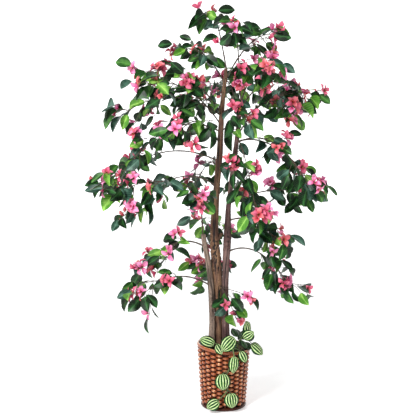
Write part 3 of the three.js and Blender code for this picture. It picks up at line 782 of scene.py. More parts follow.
# ---------------------------------------------------------------- branches and twigs
# Each branch is an iron wire that leaves its stem, arches over and hangs, and carries side twigs
# near its end. Wires and twigs are wrapped in dark brown tape and grow thinner toward their tips.
BRANCH_TABLE = [
    # name, stem, height on the stem, turn, reach, tip height, rise, bare share, twigs, fullness,
    # blooms
    ("leader_left", "middle", 1290, 159, 50, 1502, -75, 0.15, 3, 3, 1),
    ("leader_right", "right", 1180, -100, 120, 1444, -65, 0.25, 3, 4, 1),
    ("top_right", "middle", 1240, 9, 180, 1416, 10, 0.33, 4, 3, 4),
    ("top_left", "middle", 1235, 154, 170, 1362, 25, 0.28, 4, 4, 1),
    ("upper_left", "middle", 1080, -153, 300, 1222, 60, 0.37, 4, 4, 4),
    ("upper_right", "right", 1090, -1, 290, 1192, 40, 0.44, 4, 3, 2),
    ("upper_back_right", "right", 1140, 38, 265, 1218, 75, 0.28, 4, 3, 1),
    ("left_shoulder", "middle", 1115, 174, 380, 1114, 140, 0.37, 4, 4, 2),
    ("front_right_high", "right", 1160, -78, 365, 1270, 100, 0.34, 4, 3, 3),
    ("front_high", "middle", 1125, -68, 225, 1102, 45, 0.3, 4, 3, 2),
    ("right_shoulder", "right", 1040, -51, 260, 1140, 95, 0.37, 4, 4, 2),
    ("back_high", "middle", 1140, 123, 220, 1162, 30, 0.32, 4, 3, 1),
    ("back_right_high", "right", 1075, 105, 325, 1222, 100, 0.31, 4, 3, 0),
    ("back_left_high", "middle", 1120, 159, 320, 1268, 80, 0.43, 4, 2, 2),
    ("front_left_high", "middle", 1010, -120, 285, 1064, 90, 0.4, 4, 3, 2),
    ("left_back_mid", "middle", 1055, -169, 390, 876, 110, 0.41, 4, 3, 2),
    ("left_mid", "middle", 945, 165, 465, 836, 110, 0.5, 4, 3, 2),
    ("front_left_mid", "middle", 790, -153, 410, 842, 95, 0.48, 4, 2, 3),
    ("front_mid_left", "left", 668, -100, 110, 832, 25, 0.32, 4, 3, 4),
    ("front_mid", "middle", 1055, -64, 285, 760, 90, 0.31, 4, 3, 3),
    ("right_mid_high", "right", 1020, 4, 300, 832, 45, 0.39, 4, 3, 2),
    ("right_mid", "right", 785, 27, 380, 800, 60, 0.46, 4, 3, 3),
    ("front_right_mid", "right", 1015, -50, 370, 884, 80, 0.28, 4, 2, 2),
    ("right_front_mid", "right", 720, -48, 245, 678, 50, 0.48, 4, 3, 4),
    ("back_right_mid", "right", 830, 65, 260, 742, 50, 0.42, 4, 3, 3),
    ("back_mid", "middle", 905, 107, 275, 854, 80, 0.3, 4, 3, 0),
    ("back_left_mid", "middle", 850, 150, 395, 710, 110, 0.48, 4, 2, 1),
    ("left_low", "left", 620, -158, 235, 554, 75, 0.4, 4, 3, 2),
    ("left_front_low", "left", 470, -142, 320, 472, 105, 0.5, 4, 2, 0),
    ("front_low", "middle", 470, -57, 85, 408, 10, 0.29, 3, 2, 1),
    ("right_low", "right", 600, -4, 250, 456, 70, 0.48, 4, 3, 3),
    ("back_low", "middle", 670, 92, 330, 620, 100, 0.48, 4, 2, 0),
    ("back_left_low", "left", 490, 92, 160, 510, 30, 0.37, 4, 2, 2),
]
SWAY = 0.1
PATH_STEPS = 12
BOUGH_SHARE = 0.35 # a bare stretch longer than this is a bough of its own
BOUGH_RADIUS = 3.8
JOINT_GAP = 0.7
SPINE_STEPS = 4
SPACE_MARGIN = 4.5
STEM_MARGIN = 4
BOUGH_MARGIN = 2
SPRAY_SEED = 7919
TWIGLET_SEED = 104729
GOLDEN_TURN = math.radians(137.5)
UP = np.array([0.0, 0.0, 1.0])
FRONT = np.array([0.0, -1.0, 0.0])


def unit(vector):
    return vector / np.linalg.norm(vector)


def lerp(start, end, share):
    return start + (end - start) * share


def curve_point(branch, share):
    rest = 1 - share
    return rest * rest * branch.start + 2 * rest * share * branch.bend + share * share * branch.tip


def curve_tangent(branch, share):
    low = max(share - 0.0001, 0)
    high = min(share + 0.0001, 1)
    return unit(curve_point(branch, high) - curve_point(branch, low))


def branch_of(row, index):
    name, stem, height, turn, reach, tip_height, rise, bare, twigs, fullness, blooms = row
    branch = SimpleNamespace(name=name, bare=bare, twigs=twigs, fullness=fullness, blooms=blooms)
    branch.random = seeded(SPRAY_SEED * (index + 1))
    branch.fine = seeded(TWIGLET_SEED * (index + 3))
    angle = math.radians(turn)
    branch.outward = np.array([math.cos(angle), math.sin(angle), 0])
    branch.across = np.array([-branch.outward[1], branch.outward[0], 0])
    branch.start = stem_axis(STEMS[stem], height)
    branch.tip = branch.start + branch.outward * reach
    branch.tip[2] = tip_height
    branch.bend = branch.start + branch.outward * reach / 2
    branch.bend = branch.bend + branch.across * SWAY * reach * (2 * branch.random() - 1)
    branch.bend[2] = max(height, tip_height) + rise
    branch.marks = [curve_point(branch, i / PATH_STEPS) for i in range(PATH_STEPS + 1)]
    fine_marks = [curve_point(branch, i / 200) for i in range(201)]
    length = sum(np.linalg.norm(b - a) for a, b in zip(fine_marks, fine_marks[1:]))
    branch.has_bough = bare > BOUGH_SHARE
    branch.spine_start = bare + JOINT_GAP / length if branch.has_bough else 0
    return branch


branches = [branch_of(row, index) for index, row in enumerate(BRANCH_TABLE)]
all_starts = np.array([branch.marks[:-1] for branch in branches])
all_runs = np.array([branch.marks[1:] for branch in branches]) - all_starts
all_squares = (all_runs ** 2).sum(axis=2)


def path_distances(point):
    """The distance from a point to each stretch of each branch."""
    share = ((point - all_starts) * all_runs).sum(axis=2) / all_squares
    feet = all_starts + all_runs * np.clip(share, 0, 1)[..., None]
    return np.sqrt(((point - feet) ** 2).sum(axis=2))


def in_own_space(point, branch, margin=SPACE_MARGIN):
    """A branch's own space is nearer to it than to any other branch, and clear of the stems."""
    distances = path_distances(point)
    nearest = distances.min(axis=1)
    own = branches.index(branch)
    if np.delete(nearest, own).min() < nearest[own] + margin:
        return False
    for stem in STEMS.values():
        axis = stem_axis(stem, min(point[2], stem.top))
        if np.linalg.norm(axis - point) < along_stem(stem.radius, stem, point[2]) + STEM_MARGIN:
            return False
    if branch.has_bough:
        bough_steps = math.floor(branch.bare * PATH_STEPS)
        return distances[own, :bough_steps].min() > BOUGH_RADIUS + BOUGH_MARGIN
    return True


def blade_frame(along, facing):
    """Forward along a blade, across it and out of its face."""
    forward = unit(along)
    across = unit(np.cross(facing, forward))
    return forward, across, np.cross(forward, across)


def leaf_point(leaf, share, side):
    forward, across, _ = leaf.frame
    return leaf.root + forward * share * leaf.length + across * side * leaf.width / 2


def spine_point(branch, share):
    """The spine of a spray is four straight stretches between points of the branch's curve."""
    place = SPINE_STEPS * (share - branch.spine_start) / (1 - branch.spine_start)
    step = min(max(math.floor(place), 0), SPINE_STEPS - 1)
    ends = [lerp(branch.spine_start, 1, ring / SPINE_STEPS) for ring in (step, step + 1)]
    return lerp(curve_point(branch, ends[0]), curve_point(branch, ends[1]), place - step)


# Where the first twigs, leaves and blossoms of a spray stand, and how they are turned.
LEAF_LENGTH = 70
LEAF_WIDTH = 39
LEAF_FOLLOWS = 0.65 # how far a leaf runs on with its twig
LEAF_OUT = 0.25
LEAF_SLANT = 0.9 # how far it turns to the side
LEAF_SMALL = 0.95
LEAF_LARGE = 1.05
LEAF_FACE_UP = 0.5
COMBED = 0.45 # how far the silk blades are turned to the front
BLOSSOM_RADIUS = 21
BLOSSOM_DEPTH = 14
BLOSSOM_FOLLOWS = 0.5
BLOSSOM_OUT = 0.8
BLOSSOM_FACING = np.array([0.1, 0.2, 1])
BLADE_SPACING = 23
TWIG_LENGTH = 92
TWIG_TAPER = 0.35 # how much shorter the last twig is
TWIG_FLATTENED = 0.8 # twigs spread less up and down than sideways
# Each of these is a middle and how far a draw may lie to either side of it.
LEAF_SINKS = (0.35, 0.25)
LEAF_SIZES = (1, 0.12)
BLOSSOM_TURNS = (0, 0.6)
BLOSSOM_RISES = (0.25, 0.4)
TWIG_SPREADS = (0.95, 0.2)
TWIG_SINKS = (0.28, 0.15)
TWIG_SIZES = (1, 0.25)
TWIG_ROLLS = (0.4, 0.5)
TIP_SLANTS = (0, 0.3)


def spread_of(random):
    """A draw that lands evenly within a spread on both sides of a middle."""
    return lambda middle, spread: middle + spread * (2 * random() - 1)


def grow_spray(branch):
    """Side twigs turn round the spine by the golden angle and droop. Each ends in a blossom and a
    leaf, with leaves left and right behind them, and the spine carries a leaf between twigs."""
    vary = spread_of(branch.random)
    outward = branch.outward
    across = branch.across
    spray = SimpleNamespace(twigs=[], leaves=[], blossoms=[], taken=[])

    def is_free(point):
        return all(np.linalg.norm(other - point) > BLADE_SPACING for other in spray.taken)

    def add_leaf(root, run, side, slant, size, hook=None):
        along = run * LEAF_FOLLOWS + side * slant + outward * LEAF_OUT - UP * vary(*LEAF_SINKS)
        swing = vary(0, math.pi)
        facing = outward * math.cos(swing) + across * math.sin(swing)
        facing = facing + FRONT * COMBED + UP * LEAF_FACE_UP
        length = LEAF_LENGTH * size * vary(*LEAF_SIZES)
        leaf = SimpleNamespace(root=root, frame=blade_frame(along, facing), length=length)
        leaf.width = length * LEAF_WIDTH / LEAF_LENGTH
        leaf.hook = root if hook is None else hook
        middles = [leaf_point(leaf, share, 0) for share in (0.3, 0.6, 0.9)]
        tests = [(0.2, 0), (0.42, 0), (0.42, 1), (0.42, -1), (0.7, 0.5), (0.7, -0.5), (1, 0)]
        if all(is_free(middle) for middle in middles):
            if all(in_own_space(leaf_point(leaf, *test), branch) for test in tests):
                spray.leaves.append(leaf)
                spray.taken.extend(middles)

    def add_blossom(root, run, side, hook=None):
        along = run * BLOSSOM_FOLLOWS + outward * BLOSSOM_OUT
        along = along + side * vary(*BLOSSOM_TURNS)
        along = along + UP * vary(*BLOSSOM_RISES)
        frame = blade_frame(along, BLOSSOM_FACING)
        middle = root + frame[0] * BLOSSOM_DEPTH
        tips = []
        for bract in range(3):
            angle = bract * 2 * math.pi / 3
            ray = frame[1] * math.cos(angle) + frame[2] * math.sin(angle)
            tips.append(middle + ray * BLOSSOM_RADIUS)
        edges = [lerp(tips[i], tips[(i + 1) % 3], 0.5) for i in range(3)]
        if is_free(middle) and all(in_own_space(point, branch) for point in tips + edges):
            hook = root if hook is None else hook
            spray.blossoms.append(SimpleNamespace(root=root, frame=frame, hook=hook))
            spray.taken.append(middle)

    def add_twig(root, run, side, length, hook):
        spread = vary(*TWIG_SPREADS)
        tip = root + (run * math.cos(spread) + side * math.sin(spread)) * length
        tip = tip - UP * length * vary(*TWIG_SINKS)
        if not all(in_own_space(lerp(root, tip, share), branch) for share in (0.4, 0.7, 1)):
            return False
        spray.twigs.append(SimpleNamespace(root=root, tip=tip, hook=hook))
        along = unit(tip - root)
        cross = unit(np.cross(along, UP))
        add_blossom(lerp(root, tip, 0.9), along, cross)
        add_leaf(lerp(root, tip, 0.97), along, cross, vary(*TIP_SLANTS), 1)
        add_leaf(lerp(root, tip, 0.4), along, cross, LEAF_SLANT, LEAF_SMALL)
        add_leaf(lerp(root, tip, 0.65), along, cross, -LEAF_SLANT, LEAF_SMALL)
        return True

    open_share = 1 - branch.bare
    for i in range(branch.twigs):
        share = branch.bare + open_share * (i + 0.5) / branch.twigs
        run = curve_tangent(branch, share)
        over = unit(np.cross(run, across))
        roll = i * GOLDEN_TURN + vary(*TWIG_ROLLS)
        side = across * math.cos(roll) + over * TWIG_FLATTENED * math.sin(roll)
        length = TWIG_LENGTH * vary(*TWIG_SIZES) * (1 - TWIG_TAPER * i / branch.twigs)
        root = spine_point(branch, share)
        if not add_twig(root, run, side, length, curve_point(branch, share)):
            add_leaf(root, run, side, LEAF_SLANT, 1, curve_point(branch, share))
        share -= open_share * 0.42 / branch.twigs
        add_leaf(spine_point(branch, share), run, side, -LEAF_SLANT, 1, curve_point(branch, share))
    run = curve_tangent(branch, 1)
    add_blossom(spine_point(branch, 0.96), run, across, curve_point(branch, 0.96))
    add_leaf(spine_point(branch, 0.99), run, across, vary(*TIP_SLANTS), LEAF_LARGE)
    for share, slant in ((0.93, LEAF_SLANT), (0.9, -LEAF_SLANT)):
        add_leaf(spine_point(branch, share), run, across, slant, 1, curve_point(branch, share))
    return spray


# The rule goes on to twiglets: two to four on each twig and more along the spine, with leaves and
# now and then a blossom on each, all within the reach of the spray.
FINE_SPACING = 16
FINE_BLOSSOM_DEPTH = 20
FINE_BLOSSOMS = 0.06 # of the twiglets, for each step of a branch's blooms
TWIGLET_SPACING = 9
DEPTH_SHARE = 0.3 # blades may stand closer one behind the other than side by side
FINE_MARGIN = -16
FINE_DROP = 80
HIGH = 1000 # branches with higher tips are leafy nearly down to their stem
BARE_HIGH = 0.4 # of the bare stretch, where twiglets begin
BARE_LOW = 0.9
# Middles and spreads again.
FINE_LEAF_LENGTHS = (69, 8)
FINE_LEAF_SHARES = (0.51, 0.05) # width of a leaf, against its length
FINE_LEAF_SINKS = (0.55, 0.3)
FINE_TIP_SLANTS = (0, 0.4)
FINE_BLOSSOM_RISES = (0.2, 0.4)
TWIGLET_LENGTHS = (40, 10)
TWIGLET_SINKS = (0.25, 0.15)
TWIGLET_ROLLS = (0, 0.6)
REACH_LOW = np.array(cad_box[0]) / MM + 3
REACH_HIGH = np.array(cad_box[1]) / MM - 3


def carry_on(branch, spray, crowd):
    """Adds the twiglets of one spray. The crowd holds the middles of all the blades so far."""
    fine = branch.fine
    vary = spread_of(fine)
    spray.twiglets = []

    def fits(points):
        for point in points:
            if (point < REACH_LOW).any() or (point > REACH_HIGH).any():
                return False
            if point[2] < branch.tip[2] - FINE_DROP:
                return False
            if not in_own_space(point, branch, FINE_MARGIN):
                return False
        return True

    def is_free(point, spacing=FINE_SPACING):
        gaps = (np.array(crowd) - point) * (1, DEPTH_SHARE, 1)
        return (gaps ** 2).sum(axis=1).min() > spacing ** 2

    def add_leaf(root, along):
        swing = vary(0, math.pi)
        facing = np.array([math.cos(swing), math.sin(swing), 0]) * 0.7 + FRONT * 0.8 + UP * 0.4
        length = vary(*FINE_LEAF_LENGTHS)
        leaf = SimpleNamespace(root=root, frame=blade_frame(along, facing), length=length, hook=root)
        leaf.width = length * vary(*FINE_LEAF_SHARES)
        middles = [leaf_point(leaf, share, 0) for share in (0.35, 0.75)]
        if all(is_free(middle) for middle in middles) and fits([leaf_point(leaf, 1, 0)] + middles):
            spray.leaves.append(leaf)
            crowd.extend(middles)

    def add_blossom(root, along):
        frame = blade_frame(along, BLOSSOM_FACING)
        middle = root + frame[0] * FINE_BLOSSOM_DEPTH
        if is_free(middle, FINE_BLOSSOM_DEPTH) and fits([middle]):
            spray.blossoms.append(SimpleNamespace(root=root, frame=frame, hook=root))
            crowd.append(middle)

    def add_twiglet(root, ray):
        length = vary(*TWIGLET_LENGTHS)
        tip = root + unit(ray) * length - UP * length * vary(*TWIGLET_SINKS)
        if not (is_free(tip, TWIGLET_SPACING) and fits([tip])):
            return
        spray.twiglets.append(SimpleNamespace(root=root, tip=tip, hook=root))
        ray = unit(tip - root)
        cross = unit(np.cross(ray, UP + 0.01))
        drop = UP * vary(*FINE_LEAF_SINKS)
        if fine() < FINE_BLOSSOMS * branch.blooms:
            aside = cross * vary(*BLOSSOM_TURNS)
            add_blossom(tip, ray * 0.8 + aside + UP * vary(*FINE_BLOSSOM_RISES))
        add_leaf(tip, ray * 0.8 + cross * vary(*FINE_TIP_SLANTS) - drop)
        flip = 1 if fine() < 0.5 else -1
        add_leaf(lerp(root, tip, 0.6), ray * 0.5 + cross * flip * LEAF_SLANT - drop)
        add_leaf(lerp(root, tip, 0.3), ray * 0.5 - cross * flip * LEAF_SLANT - drop)

    for twig in list(spray.twigs):
        along = unit(twig.tip - twig.root)
        cross = unit(np.cross(along, UP))
        over = np.cross(cross, along)
        for k in range(branch.fullness):
            root = lerp(twig.root, twig.tip, (k + 0.8) / (branch.fullness + 0.4))
            roll = GOLDEN_TURN * k + vary(*TWIGLET_ROLLS)
            add_twiglet(root, along * 0.7 + cross * math.cos(roll) + over * 0.7 * math.sin(roll))
    steps = 3 * branch.fullness
    inner = BARE_HIGH if branch.tip[2] > HIGH else BARE_LOW
    for k in range(steps):
        share = lerp(branch.bare * inner, 0.97, (k + 0.4) / steps)
        run = curve_tangent(branch, share)
        over = unit(np.cross(run, branch.across))
        roll = GOLDEN_TURN * (k + 0.5) + vary(*TWIGLET_ROLLS)
        ray = run * 0.6 + branch.across * math.cos(roll)
        add_twiglet(curve_point(branch, share), ray + over * TWIG_FLATTENED * math.sin(roll))


sprays = [grow_spray(branch) for branch in branches]
crowd = [middle for spray in sprays for middle in spray.taken]
for branch, spray in zip(branches, sprays):
    carry_on(branch, spray, crowd)

BOUGH_RINGS = 24
TAPE_THICK = 3.1
TAPE_THIN = 1.2
LUMPY = 0.12 # how much thicker the tape is where it is lapped twice

tape, shader, lapped = mottled(
    "brown floral tape",
    (46, 38, 30),
    (92, 72, 58),
    size=0.006,
    span=(0.35, 0.65),
    roughness=0.6,
    scale=(1, 1, 2.5),
)
bump(shader, lapped, strength=0.5, distance=0.0008)


def wire_line(start, end, thick, thin, steps=5, bow=0.05):
    """A slightly arched wire between two points, thicker at its root."""
    rise = UP * bow * np.linalg.norm(end - start)
    line = []
    for step in range(steps + 1):
        share = step / steps
        point = lerp(start, end, share) + rise * 4 * share * (1 - share)
        line.append((point, lerp(thick, thin, share ** 0.6)))
    return line


bough_lines = []
twig_lines = []
for branch, spray in zip(branches, sprays):
    line = []
    for step in range(BOUGH_RINGS + 1):
        share = step / BOUGH_RINGS
        swell = 1 + LUMPY * math.sin(40 * share + 90 * branch.bare)
        line.append((curve_point(branch, share), lerp(TAPE_THICK, TAPE_THIN, share) * swell))
    bough_lines.append(line)
    for twig in spray.twigs:
        twig_lines.append(wire_line(twig.hook, twig.tip, thick=1.7, thin=0.9))
    for twiglet in spray.twiglets:
        twig_lines.append(wire_line(twiglet.hook, twiglet.tip, thick=1.2, thin=0.75, steps=4))
boughs = swept("bough_wires", bough_lines, tape, sides=8)
twigs = swept("twig_wires", twig_lines, tape, sides=5)
BOUGH_NODES = ["bough_" + branch.name for branch in branches if branch.has_bough]
MASS_NODES = ["mass_" + branch.name for branch in branches]
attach(boughs, "root")
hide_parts(*BOUGH_NODES, *MASS_NODES)
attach(twigs, "root")
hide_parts(*MASS_NODES)

# ---------------------------------------------------------------- leaves
# Each leaf is stamped from dyed silk with a fine wire glued under its midrib, so it keeps a fold
# and a droop. Nearly half are a dark waxy green, the others mid green, bright, or dark green with a
# painted bluish-grey sheen.
LEAF_SEED = 4027
STALK = 6
STALK_LAP = 4 # how far the stalk runs on under the leaf
STALK_THICK = 0.75
STALK_THIN = 0.55
LEAF_THICKNESS = 0.014 # of its length, at the midrib
VEIN_WAVES = 44.0 # radians from stalk to point, so seven veins on each side
VEIN_PALER = 36
LEAF_OUTLINE = [
    (0, 0), (0.05, 0.13), (0.14, 0.3), (0.27, 0.43), (0.42, 0.49), (0.57, 0.48), (0.71, 0.41),
    (0.83, 0.28), (0.93, 0.13), (1, 0),
]
LEAF_SHAPES = [
    # fold, droop, twist, sideways bend
    (0.2, 0.12, 0.15, 0.03),
    (0.42, 0.24, -0.25, -0.04),
    (0.1, 0.06, 0.35, 0.05),
    (0.3, 0.34, -0.1, 0.0),
    (0.75, 0.3, 0.2, 0.09),
]
LEAF_GREENS = {
    # dark and light parts of the cloth, roughness, share of the leaves
    "dark": ((8, 26, 10), (40, 90, 40), 0.32, 0.46),
    # Dark leaves with a painted bluish-grey sheen in their colour.
    "blue": ((24, 58, 44), (84, 122, 104), 0.3, 0.16),
    "mid": ((22, 66, 22), (76, 132, 54), 0.34, 0.2),
    "bright": ((72, 130, 40), (146, 196, 88), 0.38, 0.17),
}


def add_blade(bm, outline, shape, thickness):
    """Adds a closed blade, thickest at its midrib: shape(share, side, lift) places its points."""
    uv = bm.loops.layers.uv.get("UVMap") or bm.loops.layers.uv.new("UVMap")
    heart = bm.faces.layers.int.get("heart") or bm.faces.layers.int.new("heart")
    rows = []
    places = {}
    for share, half in outline:
        spots = [(-half, 0), (0, thickness / 2), (half, 0), (0, -thickness / 2)]
        if half:
            row = [bm.verts.new(shape(share, side, lift)) for side, lift in spots]
        else:
            row = [bm.verts.new(shape(share, 0, 0))] * 4
        places.update({vert: (share, 0.5 + side) for vert, (side, _) in zip(row, spots)})
        rows.append(row)
    for i, (near, far) in enumerate(zip(rows, rows[1:])):
        for a in range(4):
            b = (a + 1) % 4
            face = bm.faces.new(list(dict.fromkeys((near[a], near[b], far[b], far[a]))))
            face[heart] = int(i == 0)
            for loop in face.loops:
                loop[uv].uv = places[loop.vert]
    for near, far in zip(rows, rows[1:]):
        for a in range(4):
            bm.edges.get((near[a], far[a])).smooth = False


def kind_mesh(name, build):
    """One shape that is set many times: build(bm) adds its blades."""
    bm = bmesh.new()
    build(bm)
    return closed_mesh(name, bm)


def leaf_blade(fold, droop, twist, sideways):
    def shape(share, side, lift):
        z = abs(side) * fold + lift
        angle = twist * share
        y = side * math.cos(angle) - z * math.sin(angle) + sideways * math.sin(math.pi * share)
        drop = droop * share * share
        return share * (1 - 0.3 * drop), y, side * math.sin(angle) + z * math.cos(angle) - drop

    return lambda bm: add_blade(bm, LEAF_OUTLINE, shape, LEAF_THICKNESS)


given = new_recipe("set on twigs", {
    "Kinds": "Collection",
    "Material": "Material",
    "Heart material": "Material",
})
points = given["Geometry"]
turn = points.named("turn", "FLOAT_VECTOR")
turn = points.node("FunctionNodeEulerToRotation", None, {"Euler": turn})
kinds = points.node("GeometryNodeCollectionInfo", None, {
    "Collection": given["Kinds"],
    "Separate Children": True,
    "Reset Children": True,
})
placed = points.node("GeometryNodeInstanceOnPoints", None, {
    "Points": points,
    "Instance": kinds,
    "Pick Instance": True,
    "Instance Index": points.named("kind", "INT"),
    "Rotation": turn,
    "Scale": points.named("stretch", "FLOAT_VECTOR"),
})
SET_ON_TWIGS = end_recipe(placed, given["Material"], given["Heart material"])


def set_out(name, meshes, placings, material, heart=None):
    """Sets copies of the meshes at (point, frame, stretch, kind), in millimetres, as one piece."""
    store = bpy.data.collections.new(name + " kinds")
    scene.collection.children.link(store)
    for number, mesh in enumerate(meshes):
        store.objects.link(bpy.data.objects.new(f"{name} {number}", mesh))
    mesh = bpy.data.meshes.new(name)
    mesh.from_pydata([point * MM for point, _, _, _ in placings], [], [])
    turns = []
    for _, frame_axes, _, _ in placings:
        turns.extend(Matrix(np.array(frame_axes).T.tolist()).to_euler())
    sizes = [size * MM for _, _, stretch, _ in placings for size in stretch]
    mesh.attributes.new("turn", "FLOAT_VECTOR", "POINT").data.foreach_set("vector", turns)
    mesh.attributes.new("stretch", "FLOAT_VECTOR", "POINT").data.foreach_set("vector", sizes)
    picks = [pick for _, _, _, pick in placings]
    mesh.attributes.new("kind", "INT", "POINT").data.foreach_set("value", picks)
    values = {"Kinds": store, "Material": material, "Heart material": heart or material}
    piece = run_recipe(name, SET_ON_TWIGS, mesh, values)
    for shown in list(store.objects):
        bpy.data.objects.remove(shown)
    bpy.data.collections.remove(store)
    return piece


def blade_place(start):
    """How far a spot lies along its blade and across it, each from 0 to 1."""
    place = start.node("ShaderNodeUVMap", {"uv_map": "UVMap"})
    along = start.node("ShaderNodeSeparateXYZ", None, {"Vector": place})
    return along, Socket(start.tree, along.output.node.outputs["Y"])


def silk_finish(name, dark, light, roughness):
    """Dyed silk, dark toward its edges, with a pale pressed rib and side veins."""
    material, shader, start = new_finish(name, roughness, specular=0.22)
    along, across = blade_place(start)
    beside = start.math("ABSOLUTE", across - 0.5)
    rib = beside.band(0.06, 0.0)
    vein = start.math("SINE", (along - 0.8 * beside) * VEIN_WAVES).band(0.35, 1.0)
    cloth = grain(start, 0.03, detail=2.0)
    colour = (cloth + 0.8 * beside).band(0.4, 0.75).mix(paint(light), paint(dark))
    pale = [min(255, channel + VEIN_PALER) for channel in light]
    veins = start.math("MAXIMUM", rib * 0.6, vein * 0.16)
    start.feed(shader.inputs["Base Color"], veins.mix(colour, paint(pale)))
    start.feed(shader.inputs["Roughness"], roughness + 0.16 * cloth)
    bump(shader, 1 - veins, strength=0.4, distance=0.0008)
    return material


def drawn_row(table, draw):
    """The name of a row of a table, drawn by the share that each row ends with."""
    pick = draw()
    for name, row in table.items():
        pick -= row[-1]
        if pick < 0:
            break
    return name


leaf_kinds = [kind_mesh("leaf", leaf_blade(*shape)) for shape in LEAF_SHAPES]
draw = seeded(LEAF_SEED)
leaf_places = {green: [] for green in LEAF_GREENS}
stalk_lines = []
for spray in sprays:
    for leaf in spray.leaves:
        green = drawn_row(LEAF_GREENS, draw)
        foot = leaf.root + leaf.frame[0] * STALK
        length = leaf.length - STALK
        stretch = (length, leaf.width, length)
        leaf_places[green].append((foot, leaf.frame, stretch, int(len(LEAF_SHAPES) * draw())))
        stalk_end = foot + leaf.frame[0] * STALK_LAP
        stalk_lines.append([(leaf.hook, STALK_THICK), (stalk_end, STALK_THIN)])
for green, (dark, light, roughness, _) in LEAF_GREENS.items():
    silk = silk_finish(green + " green silk", dark, light, roughness)
    piece = set_out("leaves_" + green, leaf_kinds, leaf_places[green], silk)
    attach(piece, "root")
    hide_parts(*MASS_NODES)

stalk_green, _, _ = mottled(
    "moulded leaf stalk", (52, 74, 40), (96, 116, 62), size=0.02, span=(0.35, 0.65), roughness=0.5
)
stalks = swept("leaf_stalks", stalk_lines, stalk_green, sides=4)
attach(stalks, "root")
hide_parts(*MASS_NODES)

# ---------------------------------------------------------------- blossoms
# Blossoms stand singly or up to six together on short stalks. Each has three or four pointed
# bracts of dyed silk round a magenta throat, most with a few yellow stamens of dipped thread.
BRACT_OUTLINE = [(0, 0), (0.18, 0.17), (0.4, 0.3), (0.64, 0.29), (0.84, 0.15), (1, 0)]
BLOSSOM_SHAPES = [
    # bracts, opening at the throat and at the tip in degrees, bract length in millimetres
    (4, 34, 72, 30),
    (3, 28, 58, 32),
    (3, 44, 84, 32),
    (3, 12, 30, 28),
]
BLOSSOM_PINKS = {
    # throat end and tip of the bract, share of the blossoms
    "rose": ((182, 30, 80), (226, 112, 142), 0.44),
    "pink": ((202, 56, 128), (244, 154, 196), 0.32),
    "coral": ((190, 44, 66), (230, 122, 130), 0.24),
}
OPEN_SHAPES = 3 # the last shape is a bud without stamens, half as common as the others
BLOSSOM_SEED = 9173
PEDICEL = 4
LONG_PEDICEL = 16
PEDICEL_LAP = 3
PEDICEL_RADIUS = 0.9
CUPPED = 0.5
UNEVEN = 0.3 # how far a bract stands from its even place round the throat
ROLLED = 0.5
BRACT_THICKNESS = 0.7
HEAD_TILT = 0.85 # of each further blossom, away from the first
HEAD_TILT_MORE = 0.35
HEAD_SMALL = 0.82
HEAD_GROWS = 0.26
STAMEN_PROFILE = [(0, 0.35), (0.8, 0.35), (0.84, 1.0), (1, 0.5)] # a thread and its dipped knob
STAMEN_FOOT = 0.8
STAMEN_SPREAD = 4.2


def blossom_blades(bracts, opening, flare, length):
    def build(bm):
        for bract in range(bracts):
            turn_round = 2 * math.pi * bract / bracts + UNEVEN * math.sin(5 * bract + flare)
            rolled = ROLLED * math.sin(3 * bract + opening)

            def shape(share, side, lift, turn_round=turn_round, rolled=rolled):
                lean = math.radians(lerp(opening, flare, share))
                out = length * share * math.sin(lean)
                forward = length * share * math.cos(lean) + CUPPED * abs(side) * length
                forward += lift + side * length * math.sin(rolled)
                beside = side * length * math.cos(rolled)
                y = out * math.cos(turn_round) - beside * math.sin(turn_round)
                z = out * math.sin(turn_round) + beside * math.cos(turn_round)
                return forward, y, z

            add_blade(bm, BRACT_OUTLINE, shape, BRACT_THICKNESS)

    return build


def stamen_threads(count, length):
    """Threads that spread from the throat. Each is a thin rod with a dipped knob at its end."""
    def build(bm):
        for thread in range(count):
            turn_round = 2 * math.pi * thread / count + 0.4
            rings = []
            for share, radius in STAMEN_PROFILE:
                out = STAMEN_FOOT + STAMEN_SPREAD * share
                across = (out * math.cos(turn_round), out * math.sin(turn_round))
                middle = Vector((length * share, *across))
                ring = []
                for a, b in ((0, 1), (0.87, -0.5), (-0.87, -0.5)):
                    ring.append(bm.verts.new(middle + Vector((0, a * radius, b * radius))))
                rings.append(ring)
            bridge(bm, rings)
            bm.faces.new(rings[0])
            bm.faces.new(rings[-1])

    return build


def bract_finish(name, deep, light):
    """Dyed silk that is deep at the throat and blushes lighter to the tip."""
    material, shader, start = new_finish(name, roughness=0.5)
    along, _ = blade_place(start)
    cloth = grain(start, 0.012, detail=3.0)
    blush = along + 0.7 * (cloth - 0.5)
    start.feed(shader.inputs["Base Color"], blush.band(0.1, 0.75).mix(paint(deep), paint(light)))
    bump(shader, cloth, strength=0.3, distance=0.0008)
    return material


